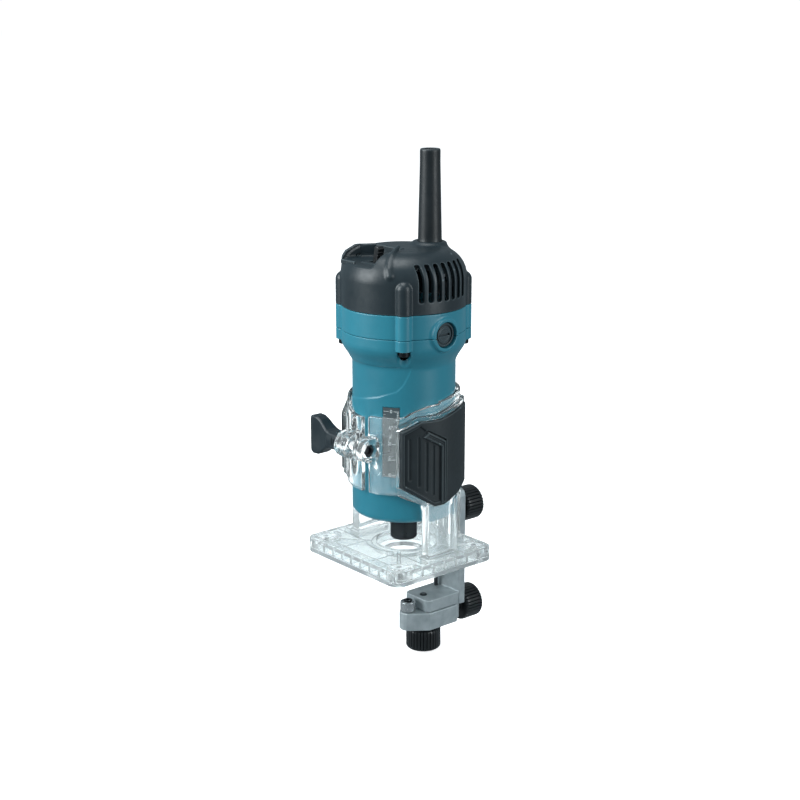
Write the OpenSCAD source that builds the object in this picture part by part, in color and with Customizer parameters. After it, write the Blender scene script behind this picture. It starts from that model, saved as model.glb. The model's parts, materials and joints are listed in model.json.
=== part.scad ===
/* [Motor housing] */
// Radius of the round motor barrel that slides in the base
barrel_r = 32.5; // [32:0.1:33]
// Height of the barrel's lower end above the sole at the rest setting
barrel_z = 31; // [30:0.5:33]
// Outer radius of the wide upper part that holds the brushes
body_r = 39; // [38.5:0.1:39.5]
// Height of the joint between the motor housing and the brush ring
part_z = 149; // [148:0.5:149.5]
// Height of the joint between the brush ring and the top cover
cover_z = 164; // [163.5:0.5:165]
// Height of the flat top of the cover
top_z = 199; // [198.5:0.5:200]
// Direction of the first housing screw column, measured from the front
rib_az = 50; // [47:1:52]
// Radius of the rounded screw columns
rib_r = 5; // [4.6:0.1:5.2]

/* [Base] */
// Width of the foot plate, side to side
plate_w = 92; // [88:1:96]
// Depth of the foot plate, front to back
plate_d = 81; // [80:0.5:82]
// Thickness of the foot plate above the sole plate
plate_t = 6.5; // [6:0.5:7]
// Thickness of the sole plate
sole_t = 3; // [2.5:0.5:3]
// Corner radius of the foot plate
plate_r = 7; // [5:1:9]
// Wall thickness of the clear sleeve
sleeve_t = 2.9; // [2.5:0.1:3.2]
// Radial running gap between barrel and sleeve
slide_gap = 0.1; // [0.05:0.01:0.1]
// Radius of the opening in the sole plate
bush_r = 12.5; // [11:0.5:14]

/* [Clamp] */
// Height of the clamp bolt above the sole
bolt_z = 79.5; // [77:0.5:82]
// Distance of the clamp bolt in front of the spindle
bolt_y = 39.5; // [39:0.5:40.5]
// Radius of the clamp bolt
bolt_r = 2.5; // [2:0.1:2.6]

/* [Trimmer guide] */
// Height of the upper clamp screw
knob_a_z = 22.5; // [21:0.5:24]
// Height of the adjusting screw, below the sole
knob_b_z = -47; // [-47.5:0.5:-46.5]
// Outer radius of the three knurled knobs
knob_r = 11.4; // [10:0.1:12]
// Grooves round each knob
knob_teeth = 32; // [24:1:40]

/* [Collet] */
// Radius of the collet's bore
collet_r = 3; // [2:0.5:3.2]
// Width across the flats of the collet nut
nut_af = 17; // [16:0.5:18]

/* [Cord guard] */
// Radius of the guard at its foot
guard_r0 = 7.7; // [7:0.1:8]
// Radius of the guard at its upper end
guard_r1 = 6.35; // [5.8:0.1:6.6]
// Length of the guard above the cover
guard_l = 57; // [50:1:60]

/* [Hidden] */
teal = [0.16, 0.47, 0.55];
dark = [0.17, 0.20, 0.22];
black = [0.07, 0.07, 0.08];
clear = [0.85, 0.93, 0.95, 0.4];
steel = [0.62, 0.63, 0.65];
alu = [0.75, 0.76, 0.77];
copper = [0.72, 0.42, 0.2];
brass = [0.75, 0.6, 0.3];
sleeve_ri = barrel_r + slide_gap;
sleeve_ro = sleeve_ri + sleeve_t;
plate_y = -4;
plate_top = sole_t + plate_t;
slit_x = 4.6;
brush_z = 150.5;
rib_c = 37;
guard_y = 21.3;
lever = [-1, -20.5, 186];
pocket = [[-27, -44], [-25, -14], [-19, -6], [4, -6], [7.5, -11], [13, -44]];
pocket_z = 191.5;
vent_y0 = -15.6;
vent_p = 5.6;
grip_yz = [[-26.6, 56.1], [-26.6, 92.1], [-16.4, 98.4], [-3.9, 98.6], [11.3, 102],
  [23, 104], [23, 53], [11.1, 47.3], [-0.5, 43.2], [-7.4, 43]];
frame_yz = [[-29.2, 54.8], [-29.2, 93.6], [-17.2, 100.9], [-4.2, 101.1], [11.3, 104.4],
  [25.4, 106.6], [25.4, 51.2], [11.8, 45], [-0.2, 40.9], [-8.1, 40.7]];

module tube(ro, ri, z0, z1, fn = 96) {
  translate([0, 0, z0]) difference() {
    cylinder(r = ro, h = z1 - z0, $fn = fn);
    translate([0, 0, -1]) cylinder(r = ri, h = z1 - z0 + 2, $fn = fn);
  }
}
module xcyl(r, x0, x1, y, z, fn = 48) translate([x0, y, z]) rotate([0, 90, 0]) cylinder(r = r, h = x1 - x0, $fn = fn);
module ycyl(r, y0, y1, x, z, fn = 48) translate([x, y1, z]) rotate([90, 0, 0]) cylinder(r = r, h = y1 - y0, $fn = fn);
module zcyl(r, z0, z1, x, y, fn = 48) translate([x, y, z0]) cylinder(r = r, h = z1 - z0, $fn = fn);
module box(x0, x1, y0, y1, z0, z1) translate([x0, y0, z0]) cube([x1 - x0, y1 - y0, z1 - z0]);
module at_az(az) rotate([0, 0, az]) children();
// plan outline with rounded corners
module rrect(w, d, r) {
  square([w - 2 * r, d], center = true);
  square([w, d - 2 * r], center = true);
  for (sx = [-1, 1], sy = [-1, 1]) translate([sx * (w / 2 - r), sy * (d / 2 - r)]) circle(r = r, $fn = 48);
}
// outline given as [y, z] points, drawn out along X from x0 to x1
module side_prism(pts, x0, x1) translate([x0, 0, 0]) rotate([90, 0, 90]) linear_extrude(x1 - x0) polygon(pts);
// outline given as [x, z] points, drawn out along Y from y0 to y1
module front_prism(pts, y0, y1) translate([0, y1, 0]) rotate([90, 0, 0]) linear_extrude(y1 - y0) polygon(pts);
// toothed outline of a knurled knob
function knurl(n, ro, ri) = [for (i = [0 : n - 1]) for (k = [[0, ro], [0.38, ro], [0.5, ri], [0.88, ri]])
  let (a = 360 * (i + k[0]) / n) [k[1] * cos(a), k[1] * sin(a)]];

// ---- base ----
module sleeve_shape() {
  difference() {
    zcyl(sleeve_ro, 40, 112, 0, 0, 96);
    // front upper edge, lower round the slit and rising to the sides
    front_prism([[-45, 125], [-45, 109], [-35, 108.5], [-27, 106.5], [-16, 100.5], [-8, 98], [2, 97.5],
      [7, 99.2], [26, 99.8], [29, 103], [34, 107], [36.5, 108], [45, 108], [45, 125]], -50, 0);
    side_prism([[0, 108.2], [20, 111], [50, 111], [50, 125], [0, 125]], -50, 50);
    // arch below the front, and two windows behind
    front_prism([[-24, 50], [24, 50], [31.3, 45.2], [33.8, 42.4], [33.8, 30], [-33.8, 30], [-33.8, 42.4], [-31.3, 45.2]], -50, -12);
    for (s = [0, 1]) mirror([s, 0, 0])
      front_prism([[14, 30], [14, 47], [16, 50], [24, 50], [31.3, 45.2], [33.8, 42.4], [33.8, 30]], 12, 50);
  }
}
module base_body() color(clear) difference() {
  union() {
    translate([0, plate_y, sole_t]) linear_extrude(plate_t) rrect(plate_w, plate_d, plate_r);
    for (sx = [-1, 1], y = [-35, 27]) zcyl(6.6, plate_top - 1, plate_top + 0.9, sx * 37, y);
    for (s = [0, 1]) mirror([s, 0, 0]) box(31, 38.5, -12, 12, plate_top - 1, 50);
    box(-14, 14, 30, 36.8, plate_top - 1, 52);
    sleeve_shape();
    // raised lip round each grip
    for (s = [0, 1]) mirror([s, 0, 0]) intersection() {
      zcyl(38.3, 38, 112, 0, 0, 96);
      side_prism(frame_yz, 12, 45);
    }
    // clamp ears
    xcyl(8.6, -10.4, 2.1, -bolt_y, bolt_z);
    box(-9.6, 2.1, -bolt_y, -31, bolt_z - 8.4, bolt_z + 8.4);
    xcyl(7.6, 7.1, 15.6, -bolt_y, bolt_z);
    box(7.1, 14.6, -bolt_y, -29, bolt_z - 7.4, bolt_z + 7.4);
  }
  zcyl(sleeve_ri, plate_top, 130, 0, 0, 96);
  zcyl(17, -1, plate_top + 2, 0, 0, 96);
  // space for the grips
  for (s = [0, 1]) mirror([s, 0, 0]) intersection() {
    difference() { zcyl(60, 38, 112, 0, 0, 96); zcyl(sleeve_ro + 0.05, 30, 120, 0, 0, 96); }
    side_prism(grip_yz, 12, 70);
  }
  // slit
  box(2.1, 7.1, -60, -20, 40, 130);
  xcyl(bolt_r + 0.3, -30, 30, -bolt_y, bolt_z);
  translate([9.5, -bolt_y, bolt_z]) rotate([0, 90, 0]) cylinder(r = 4.1 / cos(30), h = 12, $fn = 6);
  // seat of the rear clamp nut
  ycyl(3.2, 25, 45, 0, knob_a_z);
  translate([0, 35.4, knob_a_z]) rotate([90, 0, 0]) cylinder(r = 5.05 / cos(30), h = 9, $fn = 6);
  for (sx = [-1, 1], y = [-35, 27]) zcyl(1.65, -1, plate_top - 0.8, sx * 37, y, 24);
}
module base_protector() color([0.9, 0.95, 0.96, 0.5]) difference() {
  translate([0, plate_y, 0]) linear_extrude(sole_t) rrect(plate_w, plate_d, plate_r);
  zcyl(bush_r, -1, 5, 0, 0, 96);
  for (sx = [-1, 1], y = [-35, 27]) translate([sx * 37, y, 0]) {
    translate([0, 0, -1]) cylinder(r = 1.75, h = 6, $fn = 24);
    translate([0, 0, -0.01]) cylinder(r1 = 3.6, r2 = 1.7, h = 2, $fn = 32);
  }
}
module protector_screws() color(steel) for (sx = [-1, 1], y = [-35, 27]) translate([sx * 37, y, 0]) {
  difference() {
    union() {
      translate([0, 0, 0.25]) cylinder(r1 = 3.3, r2 = 1.6, h = 1.7, $fn = 32);
      translate([0, 0, 1.5]) cylinder(r = 1.6, h = plate_top - 2.6, $fn = 24);
    }
    for (a = [0, 90]) rotate([0, 0, a]) translate([-2, -0.4, 0]) cube([4, 0.8, 1.2]);
  }
}
module grip_shape() {
  intersection() {
    difference() {
      zcyl(40, 38, 112, 0, 0, 96);
      zcyl(sleeve_ro + 0.1, 30, 120, 0, 0, 96);
    }
    side_prism(grip_yz, 14, 45);
  }
  // angled finger rib
  intersection() {
    difference() {
      zcyl(41, 38, 112, 0, 0, 96);
      zcyl(38, 30, 120, 0, 0, 96);
    }
    side_prism([[-15.3, 88.6], [-12.2, 91.6], [-0.2, 84.6], [-0.2, 45.4], [-3.4, 44.6], [-3.4, 81.4]], 14, 45);
  }
}
module grip_right() color(dark) grip_shape();
module grip_left() color(dark) mirror([1, 0, 0]) grip_shape();
module hex_nut(af, t, bore) difference() {
  cylinder(r = af / 2 / cos(30), h = t, $fn = 6);
  translate([0, 0, -1]) cylinder(r = bore, h = t + 2, $fn = 32);
}
module clamp_nut() color(steel) translate([9.6, -bolt_y, bolt_z]) rotate([0, 90, 0]) hex_nut(8, 4, bolt_r);
module guide_mount_nut() color(steel) translate([0, 35.35, knob_a_z]) rotate([90, 0, 0]) hex_nut(10, 2.6, 3);

// ---- wing screw ----
module wing_knob() color(dark) difference() {
  union() {
    intersection() {
      front_prism([[-41, bolt_z - 9.5], [-40.1, bolt_z - 11.8], [-38, bolt_z - 12.6], [-33.5, bolt_z - 12.4], [-27.5, bolt_z - 9.4],
        [-22, bolt_z - 5.9], [-17, bolt_z - 4.6], [-12.4, bolt_z - 3.8], [-12.4, bolt_z + 3.8], [-17, bolt_z + 4.6], [-22, bolt_z + 5.9],
        [-27.5, bolt_z + 9.4], [-33.5, bolt_z + 12.4], [-38, bolt_z + 12.6], [-40.1, bolt_z + 11.8], [-41, bolt_z + 9.5]], -bolt_y - 8, -bolt_y + 8);
      translate([0, 0, bolt_z - 15]) linear_extrude(30) polygon([[-43, -bolt_y - 3.4], [-38.5, -bolt_y - 4], [-30.5, -bolt_y - 4.2],
        [-24, -bolt_y - 4.4], [-12.2, -bolt_y - 3.9], [-12.2, -bolt_y + 3.9], [-24, -bolt_y + 4.4], [-30.5, -bolt_y + 4.2],
        [-38.5, -bolt_y + 4], [-43, -bolt_y + 3.4]]);
    }
    xcyl(5.2, -20.8, -11.5, -bolt_y, bolt_z);
  }
  xcyl(bolt_r, -29.5, -5, -bolt_y, bolt_z);
}
module wing_stud() color(steel) xcyl(bolt_r - 0.05, -29.3, 11.4, -bolt_y, bolt_z);
module wing_washer() color(steel) difference() {
  xcyl(5.4, -11.3, -10.45, -bolt_y, bolt_z);
  xcyl(bolt_r + 0.02, -12.5, -9.5, -bolt_y, bolt_z);
}

// ---- motor ----
module screw_columns(z0, z1) for (k = [0 : 3]) at_az(rib_az + 90 * k) translate([0, -rib_c, z0]) rotate([0, 0, -90]) cylinder(r = rib_r, h = z1 - z0, $fn = 32);
module brush_bores() for (s = [0, 1]) mirror([s, 0, 0]) {
  xcyl(6.55, 10, 50, 0, brush_z);
  xcyl(8, 34.5, 50, 0, brush_z);
}
module motor_housing() color(teal) difference() {
  union() {
    difference() {
      rotate_extrude($fn = 96) polygon([[0, barrel_z], [barrel_r - 3, barrel_z], [barrel_r - 1.2, barrel_z + 0.6],
        [barrel_r - 0.3, barrel_z + 1.8], [barrel_r, barrel_z + 3], [barrel_r, 128], [barrel_r + 0.7, 131], [barrel_r + 2.3, 134],
        [body_r - 1.6, 138], [body_r - 0.3, 141], [body_r, 143], [body_r, part_z], [0, part_z]]);
      rotate_extrude($fn = 96) polygon([[0, barrel_z + 5], [29.5, barrel_z + 5], [29.5, 129], [31, 133], [34.6, 138.5], [35.6, 141.5], [35.6, 160], [0, 160]]);
    }
    zcyl(17.5, barrel_z + 1, 45, 0, 0, 64);
    screw_columns(142, part_z);
    for (s = [0, 1]) mirror([s, 0, 0]) intersection() {
      xcyl(10.3, 29, 40.3, 0, brush_z);
      box(20, 50, -20, 20, 130, part_z);
    }
  }
  zcyl(14.02, 37, 60, 0, 0, 64);
  zcyl(10, 20, 60, 0, 0, 64);
  for (k = [0 : 9]) rotate([0, 0, 36 * k]) zcyl(2.6, 20, 38, 0, -23.6, 24);
  for (k = [0 : 3]) at_az(rib_az + 90 * k) {
    zcyl(3.9, 120, 142, 0, -rib_c, 32);
    zcyl(1.75, 120, 160, 0, -rib_c, 24);
  }
  brush_bores();
  // seat of the scale plate
  intersection() {
    difference() { zcyl(40, 61.3, 105.7, 0, 0, 96); zcyl(31.9, 50, 120, 0, 0, 96); }
    at_az(36.2) box(-5.45, 5.45, -45, -20, 60, 110);
  }
}
module brush_ring() color(teal) difference() {
  union() {
    tube(body_r, 36, part_z, cover_z);
    screw_columns(part_z, cover_z);
    translate([0, 0, cover_z - 2.6]) cylinder(r = 36.5, h = 2.6, $fn = 96);
    zcyl(13.5, 158, 166, 0, 0, 64);
    for (s = [0, 1]) mirror([s, 0, 0]) intersection() {
      xcyl(10.3, 29, 40.3, 0, brush_z);
      box(20, 50, -20, 20, part_z, 162);
    }
  }
  zcyl(11.05, 157.9, 170, 0, 0, 64);
  zcyl(7.5, 150, 170, 0, 0, 64);
  for (k = [0 : 3]) at_az(rib_az + 90 * k) zcyl(1.75, 140, 170, 0, -rib_c, 24);
  for (k = [0 : 7]) if (k % 2 == 1) rotate([0, 0, 45 * k]) zcyl(5, 150, 170, 0, -25.5, 32);
  for (s = [-1, 1]) zcyl(2.6, 150, 170, s * 19.6, -9.8, 24);
  brush_bores();
}
module cover_outline(d) rotate_extrude($fn = 96) polygon([[0, cover_z - 20 * min(d, 0.05)], [body_r - d, cover_z - 20 * min(d, 0.05)], [body_r - d, 181.5 - d * 0.3],
  [body_r - 0.5 - d, 184.3 - d * 0.4], [body_r - 1.4 - d, 187.2 - d * 0.5], [body_r - 2.9 - d, 190.3 - d * 0.6], [body_r - 4.9 - d * 0.9, 193.3 - d * 0.7],
  [body_r - 7.7 - d * 0.8, 196 - d * 0.8], [body_r - 11.5 - d * 0.5, top_z - 0.8 - d * 0.9], [body_r - 16, top_z - d], [0, top_z - d]]);
module top_cover() color(dark) difference() {
  union() {
    difference() {
      cover_outline(0);
      translate([0, 0, pocket_z]) linear_extrude(20) polygon(pocket);
      difference() {
        cover_outline(2.5);
        translate([0, 0, pocket_z - 2.3]) linear_extrude(20) polygon([[-29.5, -44], [-27.4, -12.8], [-20.2, -3.6], [5.3, -3.6], [10, -10.3], [15.6, -44]]);
      }
    }
    screw_columns(cover_z, cover_z + 15.5);
    for (k = [0 : 3]) at_az(rib_az + 90 * k) translate([0, -rib_c, cover_z + 15.5]) sphere(r = rib_r, $fn = 32);
    for (s = [-1, 1]) zcyl(3, 186, 195, s * 13, guard_y, 24);
    zcyl(10.3, 192.6, 200.5, 0, guard_y);
  }
  for (k = [0 : 3]) at_az(rib_az + 90 * k) zcyl(1.65, 150, 177.5, 0, -rib_c, 24);
  // air slots on both sides
  for (s = [0, 1]) mirror([s, 0, 0]) for (i = [0 : 6])
    box(25, 50, vent_y0 + vent_p * i - 1.5, vent_y0 + vent_p * i + 1.5, 171.3, 193.6);
  zcyl(guard_r0 + 0.05, 180, 210, 0, guard_y);
  for (s = [-1, 1]) zcyl(1.45, 180, 193, s * 13, guard_y, 24);
  // slot for the switch lever
  box(lever[0] - 4.6, lever[0] + 4.6, lever[1] - 3.1, lever[1] + 3.1, 185, 195);
}
module housing_screws() color(steel) for (k = [0 : 3]) at_az(rib_az + 90 * k) translate([0, -rib_c, 0]) difference() {
  union() {
    translate([0, 0, 138.8]) cylinder(r = 3.4, h = 3.2, $fn = 32);
    translate([0, 0, 140]) cylinder(r = 1.6, h = 36, $fn = 24);
  }
  for (a = [0, 90]) rotate([0, 0, a]) translate([-2, -0.45, 138]) cube([4, 0.9, 2.2]);
}
module scale_plate() color([0.2, 0.22, 0.23]) intersection() {
  difference() { zcyl(barrel_r - 0.03, 61.5, 105.5, 0, 0, 96); zcyl(31.95, 50, 120, 0, 0, 96); }
  at_az(36.2) box(-5.3, 5.3, -45, -20, 60, 110);
}
module brush_holders() color(brass) for (s = [0, 1]) mirror([s, 0, 0]) difference() {
  xcyl(6.5, 14, 34.4, 0, brush_z);
  box(10, 30, -3.1, 3.1, brush_z - 4.6, brush_z + 4.6);
  xcyl(5.5, 29.5, 36, 0, brush_z);
}
module carbon_brushes() color([0.15, 0.15, 0.16]) for (s = [0, 1]) mirror([s, 0, 0]) difference() {
  box(10, 24.5, -3, 3, brush_z - 4.5, brush_z + 4.5);
  zcyl(11.15, 140, 160, 0, 0, 64);
}
module brush_springs() color(steel) for (s = [0, 1]) mirror([s, 0, 0]) translate([24.6, 0, brush_z]) rotate([0, 90, 0])
  rotate_extrude($fn = 32) for (i = [0 : 5]) translate([2.3, 0.5 + 0.8 * i]) circle(r = 0.45, $fn = 16);
module brush_cap() difference() {
  union() {
    xcyl(7.5, 34.6, 38.4, 0, brush_z);
    xcyl(5.45, 30, 35, 0, brush_z);
  }
  box(37, 40, -4.6, 4.6, brush_z - 0.6, brush_z + 0.6);
}
module brush_cap_right() color(black) brush_cap();
module brush_cap_left() color(black) mirror([1, 0, 0]) brush_cap();
module field_core() color(steel) difference() {
  union() {
    tube(29.3, 25, 75, 115);
    intersection() { tube(26, 17, 75, 115); box(-40, 40, -14, 14, 70, 120); }
  }
}
module field_winding() color(copper) difference() {
  tube(24.6, 17.8, 69, 121);
  box(-40, 40, -14.3, 14.3, 74.6, 115.4);
}
module bearing(ro, ri, z0, z1) difference() {
  tube(ro, ri, z0, z1, 64);
  for (z = [z0 - 1, z1 - 0.5]) tube(ro - (ro - ri) * 0.25, ri + (ro - ri) * 0.25, z, z + 1.5, 64);
}
module lower_bearing() color(steel) bearing(14, 6.04, 37, 45);
module upper_bearing() color(steel) bearing(9.5, 3.54, 158.2, 164);
module bearing_sleeve() color(black) tube(11, 9.55, 158.2, 165.5, 64);
module fan_baffle() color(dark) difference() {
  tube(29.3, 20, 64, 66.5);
  for (k = [0 : 5]) rotate([0, 0, 60 * k]) zcyl(1.5, 60, 70, 0, -25, 24);
}
module switch_body() color(black) difference() {
  box(-11, 9, -29, -11.5, 168, 189);
  box(lever[0] - 6, lever[0] + 6, lever[1] - 3.8, lever[1] + 3.8, 181, 195);
  ycyl(1.25, lever[1] - 5, lever[1] + 5, lever[0], lever[2], 24);
}
module switch_lever() color(black) translate(lever) rotate([0, 10, 0]) {
  rotate([90, 0, 0]) cylinder(r = 3.2, h = 5.4, center = true, $fn = 32);
  rotate([90, 0, 0]) cylinder(r = 1.2, h = 9, center = true, $fn = 24);
  translate([-2, -2.5, 0]) cube([4, 5, 14.2]);
  translate([0, 2.5, 14.2]) rotate([90, 0, 0]) cylinder(r = 2, h = 5, $fn = 32);
}
module cord_guard() color(black) translate([0, guard_y, 0]) difference() {
  union() {
    translate([0, 0, 186.2]) cylinder(r = 6.4, h = 5, $fn = 48);
    translate([0, 0, 189.4]) cylinder(r = 9.4, h = 3.1, $fn = 48);
    translate([0, 0, 192]) cylinder(r = guard_r0, h = 8.6, $fn = 48);
    translate([0, 0, 200.6]) cylinder(r1 = guard_r0, r2 = guard_r1, h = guard_l - 1, $fn = 48);
    translate([0, 0, 199.6 + guard_l]) cylinder(r1 = guard_r1, r2 = guard_r1 - 0.6, h = 1, $fn = 48);
  }
  translate([0, 0, 180]) cylinder(r = 3.8, h = 90, $fn = 48);
}
module cord_clamp() color(dark) difference() {
  box(-16.5, 16.5, guard_y - 4, guard_y + 4, 182.5, 185.9);
  zcyl(3.6, 180, 190, 0, guard_y);
  for (s = [-1, 1]) zcyl(1.5, 180, 190, s * 13, guard_y, 24);
}
module cord_clamp_screws() color(steel) for (s = [-1, 1]) {
  zcyl(2.6, 180.3, 182.4, s * 13, guard_y, 24);
  zcyl(1.4, 182, 192, s * 13, guard_y, 24);
}
module lead_wires() color([0.1, 0.1, 0.4]) for (s = [-1, 1]) {
  xcyl(1, s > 0 ? 9.2 : -19.6, s > 0 ? 19.6 : -11.2, -14, 176, 16);
  translate([s * 19.6, -14, 176]) sphere(r = 1, $fn = 16);
  translate([s * 19.6, -14, 176]) rotate([135 + 13.7, 0, 0]) cylinder(r = 1, h = 8.07, $fn = 16);
  translate([s * 19.6, -9.8, 169.1]) sphere(r = 1, $fn = 16);
  zcyl(1, 151, 169.1, s * 19.6, -9.8, 16);
  translate([s * 19.6, -9.8, 151]) sphere(r = 1, $fn = 16);
  ycyl(1, -9.8, -6.6, s * 19.6, 151, 16);
}

// ---- spindle ----
module spindle_shaft() color(steel) difference() {
  union() {
    zcyl(6, 14.5, 46, 0, 0, 48);
    zcyl(5, 45, 68, 0, 0, 48);
    zcyl(4, 67, 157, 0, 0, 48);
    zcyl(3.5, 156, 165, 0, 0, 48);
  }
  translate([0, 0, 14.4]) cylinder(r1 = 5.15, r2 = 3.75, h = 15.6, $fn = 48);
  zcyl(3.3, 14, 36, 0, 0, 48);
}
module collet_cone() color(steel) difference() {
  union() {
    translate([0, 0, 14.5]) cylinder(r1 = 5.05, r2 = 3.7, h = 14.5, $fn = 48);
    zcyl(4.4, 12.4, 14.8, 0, 0, 48);
  }
  zcyl(collet_r, 10, 35, 0, 0, 48);
  for (a = [0, 90]) rotate([0, 0, a]) box(-8, 8, -0.4, 0.4, 18, 32);
}
module collet_nut() color(black) difference() {
  intersection() {
    translate([0, 0, 11.5]) rotate([0, 0, 20]) cylinder(r = nut_af / 2 / cos(30), h = 16.5, $fn = 6);
    rotate_extrude($fn = 64) polygon([[0, 11.5], [nut_af / 2 - 0.6, 11.5], [nut_af / 2 / cos(30) - 0.1, 13.4], [nut_af / 2 / cos(30) + 0.5, 14], [nut_af / 2 / cos(30) + 0.5, 28], [0, 28]]);
  }
  zcyl(4.5, 10, 20, 0, 0, 48);
  zcyl(6.05, 14.4, 30, 0, 0, 48);
}
module armature_core() color(steel) difference() {
  zcyl(16.3, 76, 114, 0, 0, 64);
  zcyl(4.02, 70, 120, 0, 0, 48);
  for (k = [0 : 11]) rotate([0, 0, 30 * k]) box(-0.8, 0.8, -17, -12.5, 70, 120);
}
module armature_winding() color(copper) for (z = [[67.5, 75.8], [114.2, 124]]) tube(14.6, 5.3, z[0], z[1], 64);
module commutator() color(copper) difference() {
  tube(11, 4.02, 143, 157, 64);
  for (k = [0 : 23]) rotate([0, 0, 15 * k + 7.5]) box(-0.25, 0.25, -12, -10.2, 145, 158);
}
module cooling_fan() color(dark) {
  difference() {
    union() {
      zcyl(9, 50, 62, 0, 0, 48);
      zcyl(28.4, 60.4, 62, 0, 0, 96);
    }
    zcyl(5.02, 40, 70, 0, 0, 48);
  }
  for (k = [0 : 12]) rotate([0, 0, 360 / 13 * k]) box(-0.6, 0.6, -28, -8.8, 50.5, 60.6);
}

// ---- trimmer guide ----
module guide_bracket() color(alu) difference() {
  union() {
    front_prism([[-13, -41], [13, -41], [13, 33], [11.5, 36.6], [8, 38], [-8, 38], [-11.5, 36.6], [-13, 33]], 37.1, 42);
    front_prism([[-7.5, -54], [7.5, -54], [7.5, -40], [-7.5, -40]], 37.1, 42);
    translate([0, 0, -41]) linear_extrude(8) {
      translate([-12, 14.5]) square([24, 25]);
      translate([-8, 10.5]) square([16, 10]);
      for (s = [-1, 1]) translate([s * 8, 14.5]) circle(r = 4, $fn = 32);
    }
  }
  // slot for the upper clamp screw
  ycyl(3.3, 35, 45, 0, 12.3);
  ycyl(3.3, 35, 45, 0, 29.7);
  box(-3.3, 3.3, 35, 45, 12.3, 29.7);
  ycyl(2.55, 30, 50, 0, knob_b_z);
  zcyl(2.5, -50, -30, 0, 17);
  zcyl(1.3, -36, -30, -7.4, 34.4, 24);
}
module stop_pin() color(dark) zcyl(1.28, -36, -25, -7.4, 34.4, 24);
module adjust_clip() color(steel) difference() {
  ycyl(4, 35.85, 36.95, 0, knob_b_z, 32);
  ycyl(2.55, 30, 40, 0, knob_b_z, 32);
}
module knob_body(l) {
  linear_extrude(l - 2) polygon(knurl(knob_teeth, knob_r, knob_r - 0.7));
  translate([0, 0, l - 2]) linear_extrude(1) polygon(knurl(knob_teeth, knob_r - 0.4, knob_r - 1.1));
  translate([0, 0, l - 1]) cylinder(r = knob_r - 1.6, h = 1, $fn = 64);
}
module clamp_knob_a() color(black) translate([0, 42.3, knob_a_z]) rotate([-90, 0, 0]) difference() {
  union() {
    cylinder(r = 6.6, h = 4.2, $fn = 48);
    translate([0, 0, 4]) knob_body(14.6);
  }
  translate([0, 0, -1]) cylinder(r = 3, h = 10, $fn = 32);
}
module clamp_stud_a() color(steel) ycyl(2.95, 33.2, 51, 0, knob_a_z);
module adjust_knob() color(black) translate([0, 42.3, knob_b_z]) rotate([-90, 0, 0]) difference() {
  union() {
    cylinder(r = 5.4, h = 4.2, $fn = 48);
    translate([0, 0, 4]) knob_body(14.6);
  }
  translate([0, 0, -1]) cylinder(r = 2.5, h = 10, $fn = 32);
}
module adjust_spindle() color(steel) ycyl(2.48, 21.2, 51, 0, knob_b_z);
module clamp_knob_b() color(black) translate([0, 17, -55]) rotate([180, 0, 0]) difference() {
  knob_body(14.6);
  translate([0, 0, -1]) cylinder(r = 2.45, h = 9, $fn = 32);
}
module clamp_stud_b() color(steel) zcyl(2.43, -63, -33.6, 0, 17);
module clamp_washer() color(steel) difference() {
  zcyl(6.4, -54.9, -53.4, 0, 17);
  zcyl(2.46, -60, -50, 0, 17);
}
module guide_slider() color(alu) difference() {
  translate([0, 0, -53.2]) linear_extrude(12) polygon([[-13, 35.3], [13, 35.3], [13, 11.5], [5.4, 1.2], [3.6, -0.6],
    [1.4, -1.5], [-1.4, -1.5], [-3.6, -0.6], [-5.4, 1.2], [-13, 11.5]]);
  // slot for the lower clamp screw
  zcyl(2.7, -60, -40, 0, 17);
  zcyl(2.7, -60, -40, 0, 27);
  box(-2.7, 2.7, 17, 27, -60, -40);
  ycyl(2.53, 28, 40, 0, knob_b_z);
  zcyl(1.55, -50, -35, 0, 3.6, 24);
}
module roller_screw() color(steel) difference() {
  union() {
    zcyl(1.5, -49, -34.2, 0, 3.6, 24);
    zcyl(2.1, -41.1, -40.7, 0, 3.6, 24);
    zcyl(2.9, -34.5, -32, 0, 3.6, 32);
  }
  translate([0, 3.6, -33.6]) cylinder(r = 1.4, h = 5, $fn = 6);
}
module guide_roller() color(steel) difference() {
  translate([0, 3.6, -40.6]) rotate_extrude($fn = 48) polygon([[1.55, 0], [4.6, 0], [5, 0.4], [5, 5.5], [4.6, 5.9], [1.55, 5.9]]);
  for (z = [-41, -35]) translate([0, 3.6, z]) tube(4, 2.6, 0, 0.7, 32);
}

base_body();
base_protector();
protector_screws();
grip_right();
grip_left();
clamp_nut();
guide_mount_nut();
wing_knob();
wing_stud();
wing_washer();
motor_housing();
brush_ring();
top_cover();
housing_screws();
scale_plate();
brush_holders();
carbon_brushes();
brush_springs();
field_core();
field_winding();
lower_bearing();
upper_bearing();
bearing_sleeve();
fan_baffle();
switch_body();
cord_guard();
cord_clamp();
cord_clamp_screws();
lead_wires();
spindle_shaft();
armature_core();
armature_winding();
commutator();
cooling_fan();
collet_cone();
collet_nut();
switch_lever();
brush_cap_right();
brush_cap_left();
guide_bracket();
stop_pin();
adjust_clip();
clamp_knob_a();
clamp_stud_a();
clamp_knob_b();
clamp_stud_b();
clamp_washer();
adjust_knob();
adjust_spindle();
guide_slider();
roller_screw();
guide_roller();
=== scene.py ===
import json
import math
from concurrent.futures import ThreadPoolExecutor

import bmesh
import bpy
import numpy as np
from mathutils import Matrix, Vector

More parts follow.
